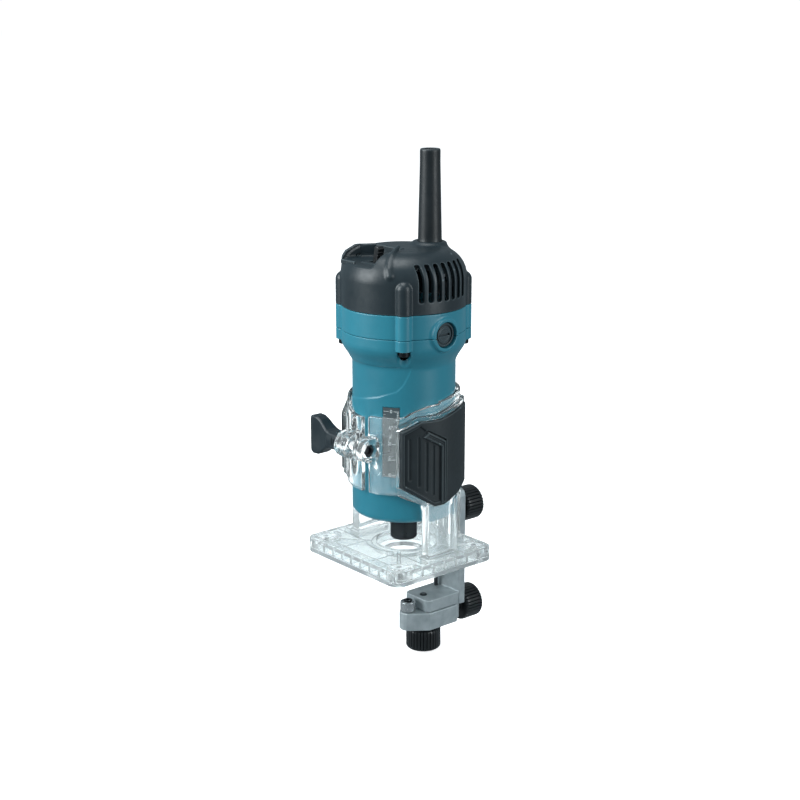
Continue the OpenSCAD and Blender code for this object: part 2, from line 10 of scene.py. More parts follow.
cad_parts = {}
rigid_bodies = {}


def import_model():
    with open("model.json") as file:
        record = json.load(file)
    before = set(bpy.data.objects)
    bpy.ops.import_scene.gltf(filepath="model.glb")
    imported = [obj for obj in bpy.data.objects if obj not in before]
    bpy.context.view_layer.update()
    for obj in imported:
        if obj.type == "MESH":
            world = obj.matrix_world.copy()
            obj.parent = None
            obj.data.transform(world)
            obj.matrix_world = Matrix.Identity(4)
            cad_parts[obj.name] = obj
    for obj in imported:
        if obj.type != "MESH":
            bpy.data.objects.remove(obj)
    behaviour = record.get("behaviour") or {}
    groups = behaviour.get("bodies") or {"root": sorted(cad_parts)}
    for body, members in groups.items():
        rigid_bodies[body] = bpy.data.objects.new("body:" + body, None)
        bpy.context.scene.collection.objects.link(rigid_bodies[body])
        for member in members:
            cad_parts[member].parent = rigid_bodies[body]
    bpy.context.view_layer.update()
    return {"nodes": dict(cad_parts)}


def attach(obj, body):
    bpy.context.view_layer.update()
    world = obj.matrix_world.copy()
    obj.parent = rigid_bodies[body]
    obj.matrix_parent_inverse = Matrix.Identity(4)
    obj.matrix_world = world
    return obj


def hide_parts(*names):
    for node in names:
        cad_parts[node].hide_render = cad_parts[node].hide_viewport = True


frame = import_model()
QUICK = 1.0
F = np.float32
pool = ThreadPoolExecutor(4)

# ------------------------------------------------------------------ distance fields, in millimetres


def smin(a, b, k):
    h = np.maximum(k - np.abs(a - b), 0) / k
    return np.minimum(a, b) - h * h * (k * 0.25)


def smax(a, b, k):
    return -smin(-a, -b, k)


def smooth(t):
    t = np.clip(t, 0, 1)
    return t * t * (3 - 2 * t)


def poly2(x, y, pts):
    """Signed distance to a closed outline, negative inside."""
    d = np.full(x.shape, 1e9, F)
    inside = np.zeros(x.shape, bool)
    n = len(pts)
    for i in range(n):
        x0, y0 = pts[i]
        x1, y1 = pts[i - 1]
        ex, ey = x1 - x0, y1 - y0
        wx, wy = x - F(x0), y - F(y0)
        t = np.clip((wx * F(ex) + wy * F(ey)) * F(1 / (ex * ex + ey * ey)), 0, 1)
        bx, by = wx - F(ex) * t, wy - F(ey) * t
        d = np.minimum(d, bx * bx + by * by)
        if ey:
            c = (y0 > y) != (y1 > y)
            inside ^= c & (wx < wy * F(ex / ey))
    d = np.sqrt(d)
    return np.where(inside, -d, d)


def line2(x, y, pts):
    """Distance to an open polyline."""
    d = np.full(x.shape, 1e9, F)
    for (x0, y0), (x1, y1) in zip(pts, pts[1:]):
        ex, ey = x1 - x0, y1 - y0
        wx, wy = x - F(x0), y - F(y0)
        t = np.clip((wx * F(ex) + wy * F(ey)) * F(1 / (ex * ex + ey * ey)), 0, 1)
        d = np.minimum(d, (wx - F(ex) * t) ** 2 + (wy - F(ey) * t) ** 2)
    return np.sqrt(d)


def rod(x, y, z, pts, r0, r1=None):
    """Distance to a round-ended rod along points, its radius going from r0 to r1."""
    r1 = r0 if r1 is None else r1
    d = np.full(x.shape, 1e9, F)
    n = len(pts) - 1
    for i in range(n):
        a, b = np.array(pts[i], float), np.array(pts[i + 1], float)
        e = b - a
        wx, wy, wz = x - F(a[0]), y - F(a[1]), z - F(a[2])
        t = np.clip((wx * F(e[0]) + wy * F(e[1]) + wz * F(e[2])) * F(1 / (e @ e)), 0, 1)
        q = np.sqrt((wx - F(e[0]) * t) ** 2 + (wy - F(e[1]) * t) ** 2 + (wz - F(e[2]) * t) ** 2)
        d = np.minimum(d, q - (r0 + (r1 - r0) * (i + t) / n))
    return d


def slab(v, v0, v1):
    return np.abs(v - F((v0 + v1) / 2)) - F((v1 - v0) / 2)


def edge(a, b, r):
    """Both a and b, with their shared edge rounded to radius r."""
    return np.minimum(np.maximum(a + r, b + r), 0) + np.hypot(np.maximum(a + r, 0), np.maximum(b + r, 0)) - F(r)


def rrect(x, y, w, d, r):
    return edge(np.abs(x) - F(w / 2), np.abs(y) - F(d / 2), r)


def box3(x, y, z, x0, x1, y0, y1, z0, z1, r=0.0):
    a, b, c = slab(x, x0, x1) + F(r), slab(y, y0, y1) + F(r), slab(z, z0, z1) + F(r)
    out = np.sqrt(np.maximum(a, 0) ** 2 + np.maximum(b, 0) ** 2 + np.maximum(c, 0) ** 2)
    return np.minimum(np.maximum(np.maximum(a, b), c), 0) + out - F(r)


def disc(u, v, w, r, w0, w1, e=0.0):
    """A cylinder of radius r along w, with its rims rounded to e."""
    return edge(np.hypot(u, v) - F(r), slab(w, w0, w1), e)


def polar(n, r, c):
    return [(r * math.cos(2 * math.pi * (i + c) / n), r * math.sin(2 * math.pi * (i + c) / n)) for i in range(n)]


def curve(pts, n=5):
    """A smooth curve through points, n steps between each two."""
    p = [np.array(q, float) for q in pts]
    p = [2 * p[0] - p[1]] + p + [2 * p[-1] - p[-2]]
    out = []
    for i in range(1, len(p) - 2):
        for k in range(n):
            t = k / n
            a, b, c, d = p[i - 1], p[i], p[i + 1], p[i + 2]
            out.append(0.5 * (2 * b + (c - a) * t + (2 * a - 5 * b + 4 * c - d) * t * t + (3 * b - a - 3 * c + d) * t**3))
    out.append(p[-2])
    return [tuple(float(v) for v in q) for q in out]


# ------------------------------------------------------------------ meshes


def field(f, p):
    parts = [p[i : i + 40000] for i in range(0, len(p), 40000)]
    return np.concatenate(list(pool.map(lambda q: f(q[:, 0], q[:, 1], q[:, 2]).astype(F), parts)))


def gradient(f, p, e=0.03):
    g = np.empty_like(p)
    for a in range(3):
        d = np.zeros(3, F)
        d[a] = e
        g[:, a] = (field(f, p + d) - field(f, p - d)) / (2 * e)
    return g


def net(f, lo, hi, h, block=6):
    """Vertices and quads of the surface where f is zero, by surface nets on a grid of cells h wide."""
    h = np.array([h] * 3 if np.isscalar(h) else h, float) * QUICK
    lo = np.array(lo, float) - 2.37 * h
    hi = np.array(hi, float) + 2 * h
    nb = np.ceil((hi - lo) / (h * block)).astype(int)
    axes = [lo[a] + (np.arange(nb[a]) + 0.5) * block * h[a] for a in range(3)]
    c = np.stack(np.meshgrid(*axes, indexing="ij"), -1).reshape(-1, 3).astype(F)
    d = field(f, c)
    reach = 0.5 * block * float(np.sqrt((h * h).sum())) * 1.25 + 0.8
    act = np.nonzero(np.abs(d) < reach)[0]
    v = np.where(d < 0, F(-1), F(1)).reshape(nb)
    for a in range(3):
        v = np.repeat(v, block, a)
    v = np.pad(v, ((0, 1),) * 3, mode="edge")
    off = np.stack(np.meshgrid(*[np.arange(block + 1)] * 3, indexing="ij"), -1).reshape(-1, 3)
    base = np.stack(np.unravel_index(act, nb), -1) * block
    for s in range(0, len(base), 4000):
        idx = (base[s : s + 4000, None, :] + off[None]).reshape(-1, 3)
        val = field(f, (lo + idx * h).astype(F))
        v[idx[:, 0], idx[:, 1], idx[:, 2]] = val
    s = v < 0
    any_ = np.zeros(np.array(v.shape) - 1, bool)
    all_ = np.ones(np.array(v.shape) - 1, bool)
    corners = [(i, j, k) for i in (0, 1) for j in (0, 1) for k in (0, 1)]
    nx, ny, nz = any_.shape
    for i, j, k in corners:
        q = s[i : i + nx, j : j + ny, k : k + nz]
        any_ |= q
        all_ &= q
    cells = np.argwhere(any_ & ~all_)
    ids = np.full(any_.shape, -1, np.int32)
    ids[cells[:, 0], cells[:, 1], cells[:, 2]] = np.arange(len(cells))
    vals = [v[cells[:, 0] + i, cells[:, 1] + j, cells[:, 2] + k] for i, j, k in corners]
    acc = np.zeros((len(cells), 3))
    cnt = np.zeros(len(cells))
    for m in range(8):
        for n in range(m + 1, 8):
            a, b = np.array(corners[m]), np.array(corners[n])
            if np.abs(a - b).sum() != 1:
                continue
            va, vb = vals[m], vals[n]
            cross = (va < 0) != (vb < 0)
            t = np.where(cross, va / np.where(cross, va - vb, 1), 0)
            acc += cross[:, None] * (a + t[:, None] * (b - a))
            cnt += cross
    p = (lo + (cells + acc / cnt[:, None]) * h).astype(F)
    quads = []
    for axis in range(3):
        o = [(axis + 1) % 3, (axis + 2) % 3]
        sl0, sl1 = [slice(1, -1)] * 3, [slice(1, -1)] * 3
        sl0[axis], sl1[axis] = slice(0, -1), slice(1, None)
        s0, s1 = s[tuple(sl0)], s[tuple(sl1)]
        e = np.argwhere(s0 != s1)
        up = s0[e[:, 0], e[:, 1], e[:, 2]]
        e = e + 1
        e[:, axis] -= 1
        ring = []
        for du, dv in ((1, 1), (0, 1), (0, 0), (1, 0)):
            q = e.copy()
            q[:, o[0]] -= du
            q[:, o[1]] -= dv
            ring.append(ids[q[:, 0], q[:, 1], q[:, 2]])
        ring = np.stack(ring, 1)
        ring[~up] = ring[~up][:, ::-1]
        quads.append(ring)
    quads = np.concatenate(quads)
    step = float(h.min()) * 0.7
    for _ in range(2):
        g = gradient(f, p)
        dist = field(f, p)
        n2 = np.maximum((g * g).sum(1), 0.05)
        mv = g * (dist / n2)[:, None]
        length = np.sqrt((mv * mv).sum(1))
        mv *= np.minimum(1, step / np.maximum(length, 1e-9))[:, None]
        p = (p - mv).astype(F)
    return p, quads


def add_mesh(name, p, faces, normals=None, smooth_faces=True):
    """A mesh object from points in millimetres and quads or triangles."""
    me = bpy.data.meshes.new(name)
    me.vertices.add(len(p))
    me.vertices.foreach_set("co", (np.asarray(p, np.float64) * 0.001).astype(F).ravel())
    faces = np.asarray(faces)
    k = faces.shape[1]
    me.loops.add(faces.size)
    me.loops.foreach_set("vertex_index", faces.ravel().astype(np.int32))
    me.polygons.add(len(faces))
    me.polygons.foreach_set("loop_start", (np.arange(len(faces)) * k).astype(np.int32))
    me.polygons.foreach_set("use_smooth", np.full(len(faces), smooth_faces, bool))
    me.update(calc_edges=True)
    me.validate()
    if normals is not None:
        me.normals_split_custom_set_from_vertices([tuple(q) for q in normals])
    ob = bpy.data.objects.new(name, me)
    bpy.context.scene.collection.objects.link(ob)
    return ob


def unit(g):
    return g / np.maximum(np.sqrt((g * g).sum(1)), 1e-9)[:, None]


def solid(name, f, lo, hi, h, most=190000, mirror_x=False):
    """An object whose surface is the zero of f."""
    p, q = net(f, lo, hi, h)
    ob = add_mesh(name, p, q)
    if 2 * len(q) > most:
        m = ob.modifiers.new("thin", "DECIMATE")
        m.ratio = most / (2 * len(q))
        dg = bpy.context.evaluated_depsgraph_get()
        me = bpy.data.meshes.new_from_object(ob.evaluated_get(dg))
        ob.modifiers.clear()
        old = ob.data
        ob.data = me
        bpy.data.meshes.remove(old)
        me.name = name
    me = ob.data
    co = np.zeros(len(me.vertices) * 3, F)
    me.vertices.foreach_get("co", co)
    p = co.reshape(-1, 3) * 1000
    n = unit(gradient(f, p.astype(F), 0.06))
    me.polygons.foreach_set("use_smooth", np.ones(len(me.polygons), bool))
    me.normals_split_custom_set_from_vertices([tuple(v) for v in n.tolist()])
    return ob


def mirrored(ob, name):
    """A copy of ob mirrored in X."""
    me = ob.data
    co = np.zeros(len(me.vertices) * 3, F)
    me.vertices.foreach_get("co", co)
    p = co.reshape(-1, 3) * 1000
    p[:, 0] *= -1
    sizes = {len(q.vertices) for q in me.polygons}
    if len(sizes) == 1:
        k = sizes.pop()
        f = np.zeros(len(me.polygons) * k, np.int32)
        me.polygons.foreach_get("vertices", f)
        f = f.reshape(-1, k)[:, ::-1]
        return add_mesh(name, p, f)
    bm = bmesh.new()
    bm.from_mesh(me)
    bmesh.ops.scale(bm, vec=(-1, 1, 1), verts=bm.verts)
    bmesh.ops.reverse_faces(bm, faces=bm.faces)
    out = bpy.data.meshes.new(name)
    bm.to_mesh(out)
    bm.free()
    o2 = bpy.data.objects.new(name, out)
    bpy.context.scene.collection.objects.link(o2)
    return o2


def lathe(name, rings, seg=96, radius=None, place=None, caps=True):
    """A turned piece: rings is a list of (radius, height), from one end to the other, closed at both ends.
    radius(a, r, z) may change the radius round the axis. place maps local (x, y, z) points to their place."""
    a = np.arange(seg) * 2 * math.pi / seg
    rows = []
    for r, z in rings:
        rr = np.full(seg, r) if radius is None else radius(a, r, z)
        rows.append(np.stack([rr * np.cos(a), rr * np.sin(a), np.full(seg, z)], 1))
    p = np.concatenate(rows)
    m = len(rings)
    i = np.arange(seg)
    j = (i + 1) % seg
    quads = np.concatenate([np.stack([k * seg + i, k * seg + j, (k + 1) * seg + j, (k + 1) * seg + i], 1) for k in range(m - 1)])
    tris = []
    if caps:
        c0, c1 = len(p), len(p) + 1
        p = np.concatenate([p, [[0, 0, rings[0][1]], [0, 0, rings[-1][1]]]])
        tris = np.concatenate([np.stack([np.full(seg, c0), j, i], 1), np.stack([np.full(seg, c1), (m - 1) * seg + i, (m - 1) * seg + j], 1)])
    else:
        quads = np.concatenate([quads, np.stack([(m - 1) * seg + i, (m - 1) * seg + j, j, i], 1)])
    if place is not None:
        p = place(p)
    me = bpy.data.meshes.new(name)
    faces = quads.tolist() + (tris.tolist() if len(tris) else [])
    me.from_pydata((p * 0.001).tolist(), [], faces)
    me.polygons.foreach_set("use_smooth", np.ones(len(me.polygons), bool))
    me.update()
    me.validate()
    ob = bpy.data.objects.new(name, me)
    bpy.context.scene.collection.objects.link(ob)
    return ob


def sharpen(ob, angle=35):
    """Smooth shading that stays crisp at edges sharper than angle."""
    me = ob.data
    bm = bmesh.new()
    bm.from_mesh(me)
    bm.normal_update()
    limit = math.radians(angle)
    for e in bm.edges:
        if len(e.link_faces) == 2:
            e.smooth = e.calc_face_angle(0) < limit
    bm.to_mesh(me)
    bm.free()
    return ob


def join(name, obs):
    """One object from several, their meshes appended."""
    bm = bmesh.new()
    for o in obs:
        bm.from_mesh(o.data)
    me = bpy.data.meshes.new(name)
    bm.to_mesh(me)
    bm.free()
    for o in obs:
        m = o.data
        bpy.data.objects.remove(o)
        bpy.data.meshes.remove(m)
    ob = bpy.data.objects.new(name, me)
    bpy.context.scene.collection.objects.link(ob)
    return ob


def along_y(y0, x=0.0, z=0.0):
    """Local Z along +Y from y0."""
    return lambda p: np.stack([p[:, 0] + x, p[:, 2] + y0, -p[:, 1] + z], 1)


def along_x(x0, y=0.0, z=0.0):
    return lambda p: np.stack([p[:, 2] + x0, p[:, 0] + y, p[:, 1] + z], 1)


def along_z(z0, x=0.0, y=0.0):
    return lambda p: np.stack([p[:, 0] + x, p[:, 1] + y, p[:, 2] + z0], 1)


def down_z(z0, x=0.0, y=0.0):
    return lambda p: np.stack([p[:, 0] + x, -p[:, 1] + y, -p[:, 2] + z0], 1)


def thread(name, r, length, place, pitch=1.0, depth=0.35, seg=40, tip=0.7):
    """A threaded rod along local Z from 0 to length."""
    n = int(length / pitch * 6)
    zs = np.linspace(0, length, n + 1)

    def radius(a, rr, z):
        f = (z / pitch - a / (2 * math.pi)) % 1.0
        cut = depth * (1 - np.abs(2 * f - 1) ** 1.2)
        ends = min(1.0, (z + 0.02) / tip, (length - z + 0.02) / tip)
        return r - cut - (1 - ends) * depth * 0.8

    return lathe(name, [(r, float(z)) for z in zs], seg, radius, place)

# ------------------------------------------------------------------ sizes shared with the CAD model

RIB_C = 37.0
RIBS = [math.radians(50 + 90 * k) for k in range(4)]
RIB_XY = [(RIB_C * math.sin(a), -RIB_C * math.cos(a)) for a in RIBS]
POCKET = [(-27, -44), (-25, -14), (-19, -6), (4, -6), (7.5, -11), (13, -44)]
LEVER = (-1.0, -20.5, 186.0)
GUARD_Y = 21.3
BOLT_Y, BOLT_Z = -39.5, 79.5
BRUSH_Z = 150.5
SCALE_AZ = math.radians(36.2)
GRIP = [(-26.6, 56.1), (-26.6, 92.1), (-16.4, 98.4), (-3.9, 98.6), (11.3, 102), (23, 104), (23, 53), (11.1, 47.3), (-0.5, 43.2), (-7.4, 43)]
LIP = [(-29.2, 54.8), (-29.2, 93.6), (-17.2, 100.9), (-4.2, 101.1), (11.3, 104.4), (25.4, 106.6), (25.4, 51.2), (11.8, 45), (-0.2, 40.9), (-8.1, 40.7)]


def columns(x, y, z, top=None):
    d = None
    for cx, cy in RIB_XY:
        u, v = x - F(cx), y - F(cy)
        q = np.hypot(u, v) if top is None else np.sqrt(u * u + v * v + np.maximum(z - F(top), 0) ** 2)
        d = q if d is None else np.minimum(d, q)
    return d - F(5)


def column_bores(x, y, r):
    d = None
    for cx, cy in RIB_XY:
        q = np.hypot(x - F(cx), y - F(cy))
        d = q if d is None else np.minimum(d, q)
    return d - F(r)


def dome(r, z, big=17.3, rad=39.0, top=199.0):
    return edge(r - F(rad), z - F(top), big)


def cover(x, y, z):
    r = np.hypot(x, y)
    out = dome(r, z)
    pk = poly2(x, y, POCKET)
    hollow = np.maximum(out + F(2.5), -np.maximum(pk - F(2.3), F(189.2) - z))
    d = smin(out, columns(x, y, z, 179.5), 0.9)
    # the socket of the cord guard stands on a wide fillet
    boss = disc(x, y - F(GUARD_Y), z, 10.3, 185, 200.5, 1.0)
    d = smin(d, boss, 4.5)
    # the switch sits in a recess open to the front
    recess = smax(pk, F(191.5) - z, 2.2)
    d = smax(d, -recess, 1.0)
    # a ridge along the right rim of the recess, ending in a horn
    fin = rod(x, y, z, [(22.6, -29.6, 187.5), (20.6, -28.6, 190.6), (18.2, -26.2, 193.6), (14.8, -21.6, 197.6), (11.0, -16.0, 200.2), (8.8, -11.8, 201.4)], 2.1, 1.2)
    fin = np.maximum(fin, F(0.6) - pk)
    d = smin(d, fin, 2.0)
    # the wall behind the lever stands a little above the dome
    wall = np.maximum(np.maximum(pk - F(2.2), F(0.2) - pk), F(184) - z)
    crest = F(199.4) - np.maximum(-y - F(17), 0) * F(0.42) - np.maximum(-y - F(24), 0) * F(0.8)
    wall = edge(wall, np.maximum(z - np.where(x < 6, crest, F(196)), r - F(38.4)), 0.8)
    d = smin(d, np.maximum(wall, x - F(5)), 1.2)
    # a low ledge on the floor of the recess, beside the lever
    d = smin(d, box3(x, y, z, -20.5, -7.2, -33.2, -31.6, 190, 192.7, 0.5), 0.6)
    d = smin(d, box3(x, y, z, -7.4, 5.4, -27.4, -13.6, 190, 192.1, 0.5), 0.5)
    d = smax(d, -box3(x, y, z, LEVER[0] - 4.6, LEVER[0] + 4.6, LEVER[1] - 3.1, LEVER[1] + 3.1, 184, 197, 0.3), 0.4)
    # air slots
    k = np.clip(np.round((y + F(15.6)) / F(5.6)), 0, 6)
    slot = edge(np.abs(y + F(15.6) - k * F(5.6)) - F(1.65), slab(z, 171.3, 193.6), 1.4)
    slot = np.maximum(slot, F(25) - np.abs(x))
    d = smax(d, -slot, 0.6)
    d = np.maximum(d, -hollow)
    inner = np.maximum(columns(x, y, z, 179.5), z - F(184))
    d = np.minimum(d, np.maximum(inner, out))
    d = smax(d, F(0.2) - (z - F(164)) - 0.12, 0.5)
    d = smax(d, -np.maximum(column_bores(x, y, 1.65), z - F(177.5)), 0.2)
    d = smax(d, -(np.hypot(x, y - F(GUARD_Y)) - F(7.8)), 0.7)
    return d


SHOULDER = curve([(32.5, 128), (32.6, 129.3), (33.2, 131), (34.8, 134), (37.4, 138), (38.7, 141), (39, 143.5)], 3)
FOOT = [(-20, 31)] + [(29.1 + 3.4 * math.sin(math.radians(t)), 34.4 - 3.4 * math.cos(math.radians(t))) for t in range(0, 91, 15)]
PANEL = [(-75, 131), (-72, 112), (-60, 103.5), (-15.5, 107), (20.6, 111.2), (42.6, 115.7), (50, 120), (56.6, 127.6), (58, 131)]


def boss(x, y, z):
    return edge(np.hypot(y, z - F(BRUSH_Z)) - F(10.3), np.abs(x) - F(40.3), 0.9)


def brush_bores(x, y, z):
    q = np.hypot(y, z - F(BRUSH_Z))
    ax = np.abs(x)
    return np.minimum(np.maximum(q - F(6.55), F(10) - ax), np.maximum(q - F(8), F(34.5) - ax))


def housing(x, y, z):
    r = np.hypot(x, y)
    out = poly2(r, z, FOOT + SHOULDER + [(39, 156), (-20, 156)])
    # the shallow panel round the barrel's upper front
    s = np.arctan2(x, -y) * F(32.5)
    sd = poly2(s, z, [(math.radians(a) * 32.5, h) for a, h in PANEL])
    out = out + np.where(z < 131.5, F(0.34) * smooth(F(0.5) - sd / F(1.3)), F(0.34) * smooth((F(134.5) - z) / F(3)) * smooth(F(0.5) - sd / F(1.3)))
    col = np.maximum(columns(x, y, z), F(142) - z)
    d = smin(out, col, 0.8)
    d = smin(d, boss(x, y, z), 1.8)
    inner = poly2(r, z, [(-20, 36), (29.5, 36), (29.5, 129), (31, 133), (34.6, 138.5), (35.6, 141.5), (35.6, 160), (-20, 160)])
    d = np.maximum(d, -inner)
    d = np.minimum(d, np.maximum(r - F(17.5), slab(z, 32, 45)))
    d = np.minimum(d, np.maximum(np.maximum(col, F(142.3) - z), r - F(37)))
    d = smax(d, z - F(148.93), 0.5)
    d = np.maximum(d, -np.maximum(r - F(14.02), F(37) - z))
    d = smax(d, -(r - F(10)), 0.8)
    d = smax(d, -np.maximum(column_bores(x, y, 3.9), z - F(142)), 0.6)
    d = np.maximum(d, -column_bores(x, y, 1.75))
    d = smax(d, -brush_bores(x, y, z), 0.4)
    # seat of the scale
    u = x * F(math.cos(SCALE_AZ)) + y * F(math.sin(SCALE_AZ))
    w = x * F(math.sin(SCALE_AZ)) - y * F(math.cos(SCALE_AZ))
    seat = np.maximum(edge(np.abs(u) - F(5.45), slab(z, 61.3, 105.7), 0.5), np.maximum(F(31.9) - r, -w))
    return smax(d, -seat, 0.25)


def ring(x, y, z):
    r = np.hypot(x, y)
    d = np.minimum(r - F(39), 99)
    d = smin(d, columns(x, y, z), 0.8)
    d = smin(d, boss(x, y, z), 1.8)
    d = np.maximum(d, -np.maximum(r - F(36), z - F(161.4)))
    d = np.minimum(d, np.maximum(columns(x, y, z), r - F(38)))
    inner = np.maximum(boss(x, y, z), F(29) - np.abs(x))
    d = np.minimum(d, inner)
    d = np.minimum(d, np.maximum(r - F(13.5), F(158) - z))
    d = smax(d, slab(z, 149.07, 163.93), 0.5)
    d = np.maximum(d, -np.maximum(r - F(11.05), F(157.9) - z))
    d = np.maximum(d, -(r - F(7.5)))
    for k in range(4):
        a = math.radians(45 + 90 * k)
        d = np.maximum(d, -(np.hypot(x - F(25.5 * math.sin(a)), y + F(25.5 * math.cos(a))) - F(5)))
    for sx in (-1, 1):
        d = np.maximum(d, -(np.hypot(x - F(19.6 * sx), y + F(9.8)) - F(2.6)))
    d = np.maximum(d, -column_bores(x, y, 1.75))
    return smax(d, -brush_bores(x, y, z), 0.4)


TOP_F = [(-45, 109.2), (-35, 108.6), (-27, 106.5), (-16, 100.5), (-8, 98), (2, 97.5), (7, 99.2), (26, 99.8), (29, 103), (34, 107), (36.5, 108), (45, 108), (45, 135), (-45, 135)]
TOP_S = [(0, 108.2), (20, 111), (50, 111), (50, 135), (0, 135)]
ARCH = [(-24, 50), (24, 50), (31.3, 45.2), (33.8, 42.4), (33.8, 20), (-33.8, 20), (-33.8, 42.4), (-31.3, 45.2)]
WINDOW = [(14, 20), (14, 47), (16, 50), (24, 50), (31.3, 45.2), (33.8, 42.4), (33.8, 20)]


def base(x, y, z):
    r = np.hypot(x, y)
    ax = np.abs(x)
    yp = y + F(4)
    bx, by = ax - F(37), np.minimum(np.abs(y + F(35)), np.abs(y - F(27)))
    bosses = np.hypot(bx, by)
    rc = np.abs(r - F(34.05)) - F(1.45)
    # foot plate
    out2 = rrect(x, yp, 92, 81, 7)
    plate = edge(out2, slab(z, 3, 9.5), 0.9)
    plate = smin(plate, edge(bosses - F(6.6), slab(z, 5, 10.4), 0.7), 0.6)
    # sunken panels in its top, between flat bands
    panel = np.maximum(out2 + F(4.2), F(24.5) - r)
    panel = np.maximum(panel, F(8.2) - bosses)
    leg2 = edge(slab(ax, 31, 38.5), np.abs(y) - F(12), 1)
    panel = np.maximum(panel, F(2.0) - leg2)
    panel = np.maximum(panel, F(1.8) - np.abs(np.abs(x) - F(15.5)) + np.where(y < -20, 0, 30).astype(F))
    plate = smax(plate, -edge(panel, F(9.15) - z, 0.2), 0.25)
    # hollows from below, with ribs to the corners and across
    hol = np.maximum(out2 + F(2.3), F(20.5) - r)
    hol = np.maximum(hol, F(7.4) - bosses)
    hol = np.maximum(hol, F(1.2) - leg2)
    along = np.where(out2 < -20, F(0), np.where(np.abs(yp) - F(40.5) > ax - F(46), x, yp))
    tooth = np.abs(((along + F(4.6)) / F(9.2)) % F(1.0) - F(0.5)) * F(9.2)
    hol = np.maximum(hol, np.where(out2 > F(-9), F(0.85) - tooth, F(-9)))
    rib = np.abs((np.abs(yp) * F(37) - ax * F(31)) / F(48.3))
    hol = np.maximum(hol, F(0.8) - rib)
    hol = np.maximum(hol, F(0.8) - np.abs(np.abs(yp) - F(31.2)))
    hol = np.maximum(hol, F(0.8) - np.abs(ax - F(27.5)) - np.where(np.abs(yp) > 22, 0, 30).astype(F))
    plate = smax(plate, -edge(hol, z - F(6.9), 0.4), 0.5)
    d = plate
    # legs at the sides, a wall at the back
    leg = edge(leg2, slab(z, 8.5, 52), 0.5)
    d = smin(d, leg, 1.6)
    wall = edge(edge(ax - F(14), slab(y, 30, 36.8), 1.2), slab(z, 8.5, 52), 0.5)
    d = smin(d, wall, 1.6)
    # sleeve
    sl = edge(rc, slab(z, 40, 112), 0.6)
    front = y < 0
    cut_top = np.where(front, poly2(x, z, TOP_F), 50)
    cut_top = np.minimum(cut_top, poly2(np.maximum(y, -3), z, TOP_S) + np.maximum(-y, 0))
    sl = smax(sl, -cut_top, 1.0)
    arch = np.where(y < 6, poly2(x, z, ARCH), 50)
    arch = np.maximum(arch, y + F(12))
    sl = smax(sl, -arch, 1.0)
    win = np.maximum(poly2(ax, z, WINDOW), F(12) - y)
    sl = smax(sl, -win, 1.0)
    d = smin(d, sl, 1.2)
    # raised lips round the grips
    lip = edge(poly2(y, z, LIP), np.maximum(r - F(38.3), F(33) - r), 0.5)
    lip = np.maximum(lip, F(12) - ax)
    d = smin(d, lip, 1.0)
    # clamp ears on both sides of the slit
    ey, ez = y - F(BOLT_Y), z - F(BOLT_Z)
    e1 = edge(np.hypot(ey, ez) - F(8.6), slab(x, -10.4, 2.1), 0.9)
    e1 = smin(e1, box3(x, y, z, -9.6, 2.1, BOLT_Y, -31, BOLT_Z - 8.4, BOLT_Z + 8.4, 0.9), 1.5)
    e2 = edge(np.hypot(ey, ez) - F(7.6), slab(x, 7.1, 15.6), 0.9)
    e2 = smin(e2, box3(x, y, z, 7.1, 14.6, BOLT_Y, -29, BOLT_Z - 7.4, BOLT_Z + 7.4, 0.9), 1.5)
    # stiffening ribs above and below the ears
    e1 = smin(e1, rod(x, y, z, [(-6, -34.6, BOLT_Z + 15), (-5, -37.5, BOLT_Z + 6)], 1.9), 1.6)
    e1 = smin(e1, rod(x, y, z, [(-6, -34.6, BOLT_Z - 18), (-5, -37.5, BOLT_Z - 6)], 1.9), 1.6)
    for k in (-7.6, -3.4):
        e1 = smax(e1, -(np.hypot(np.hypot(ey, ez) - F(8.9), x - F(k)) - F(0.8)), 0.5)
    e2 = smin(e2, rod(x, y, z, [(12.5, -32.6, BOLT_Z - 15), (11.6, -36.6, BOLT_Z - 6)], 1.9), 1.6)
    d = smin(d, np.minimum(e1, e2), 1.8)
    # a low band along the front of the sleeve, left of the slit
    band = np.maximum(np.abs(r - F(35.6)) - F(0.9), poly2(x, z, [(-21.5, 54), (-21.5, 97), (-15.5, 97), (-15.5, 54)]))
    d = smin(d, np.maximum(band, y), 1.0)
    # spaces
    d = smax(d, -np.maximum(r - F(32.6), F(9.5) - z), 0.5)
    d = smax(d, -(r - F(17)), 1.2)
    gr = np.maximum(poly2(y, z, GRIP), np.maximum(F(35.55) - r, F(12) - ax))
    d = smax(d, -gr, 0.3)
    d = smax(d, -edge(np.maximum(slab(x, 2.1, 7.1), y + F(20)), slab(z, 40, 130), 0.3), 0.8)
    d = smax(d, -np.maximum(np.hypot(ey, ez) - F(2.8), ax - F(30)), 0.4)
    hexd = np.maximum(np.maximum(np.abs(ey * F(0.8660254) + ez * F(0.5)), np.abs(ey * F(-0.8660254) + ez * F(0.5))), np.abs(ez)) - F(4.1)
    d = smax(d, -np.maximum(hexd, F(9.5) - x), 0.5)
    d = smax(d, -np.maximum(np.hypot(x, z - F(22.5)) - F(3.2), F(25) - y), 0.3)
    hz, hx = z - F(22.5), x
    hex2 = np.maximum(np.maximum(np.abs(hz * F(0.8660254) + hx * F(0.5)), np.abs(hz * F(-0.8660254) + hx * F(0.5))), np.abs(hx)) - F(5.05)
    d = smax(d, -np.maximum(hex2, slab(y, 26.4, 35.4)), 0.3)
    d = smax(d, -np.maximum(bosses - F(1.65), z - F(8.7)), 0.2)
    return d


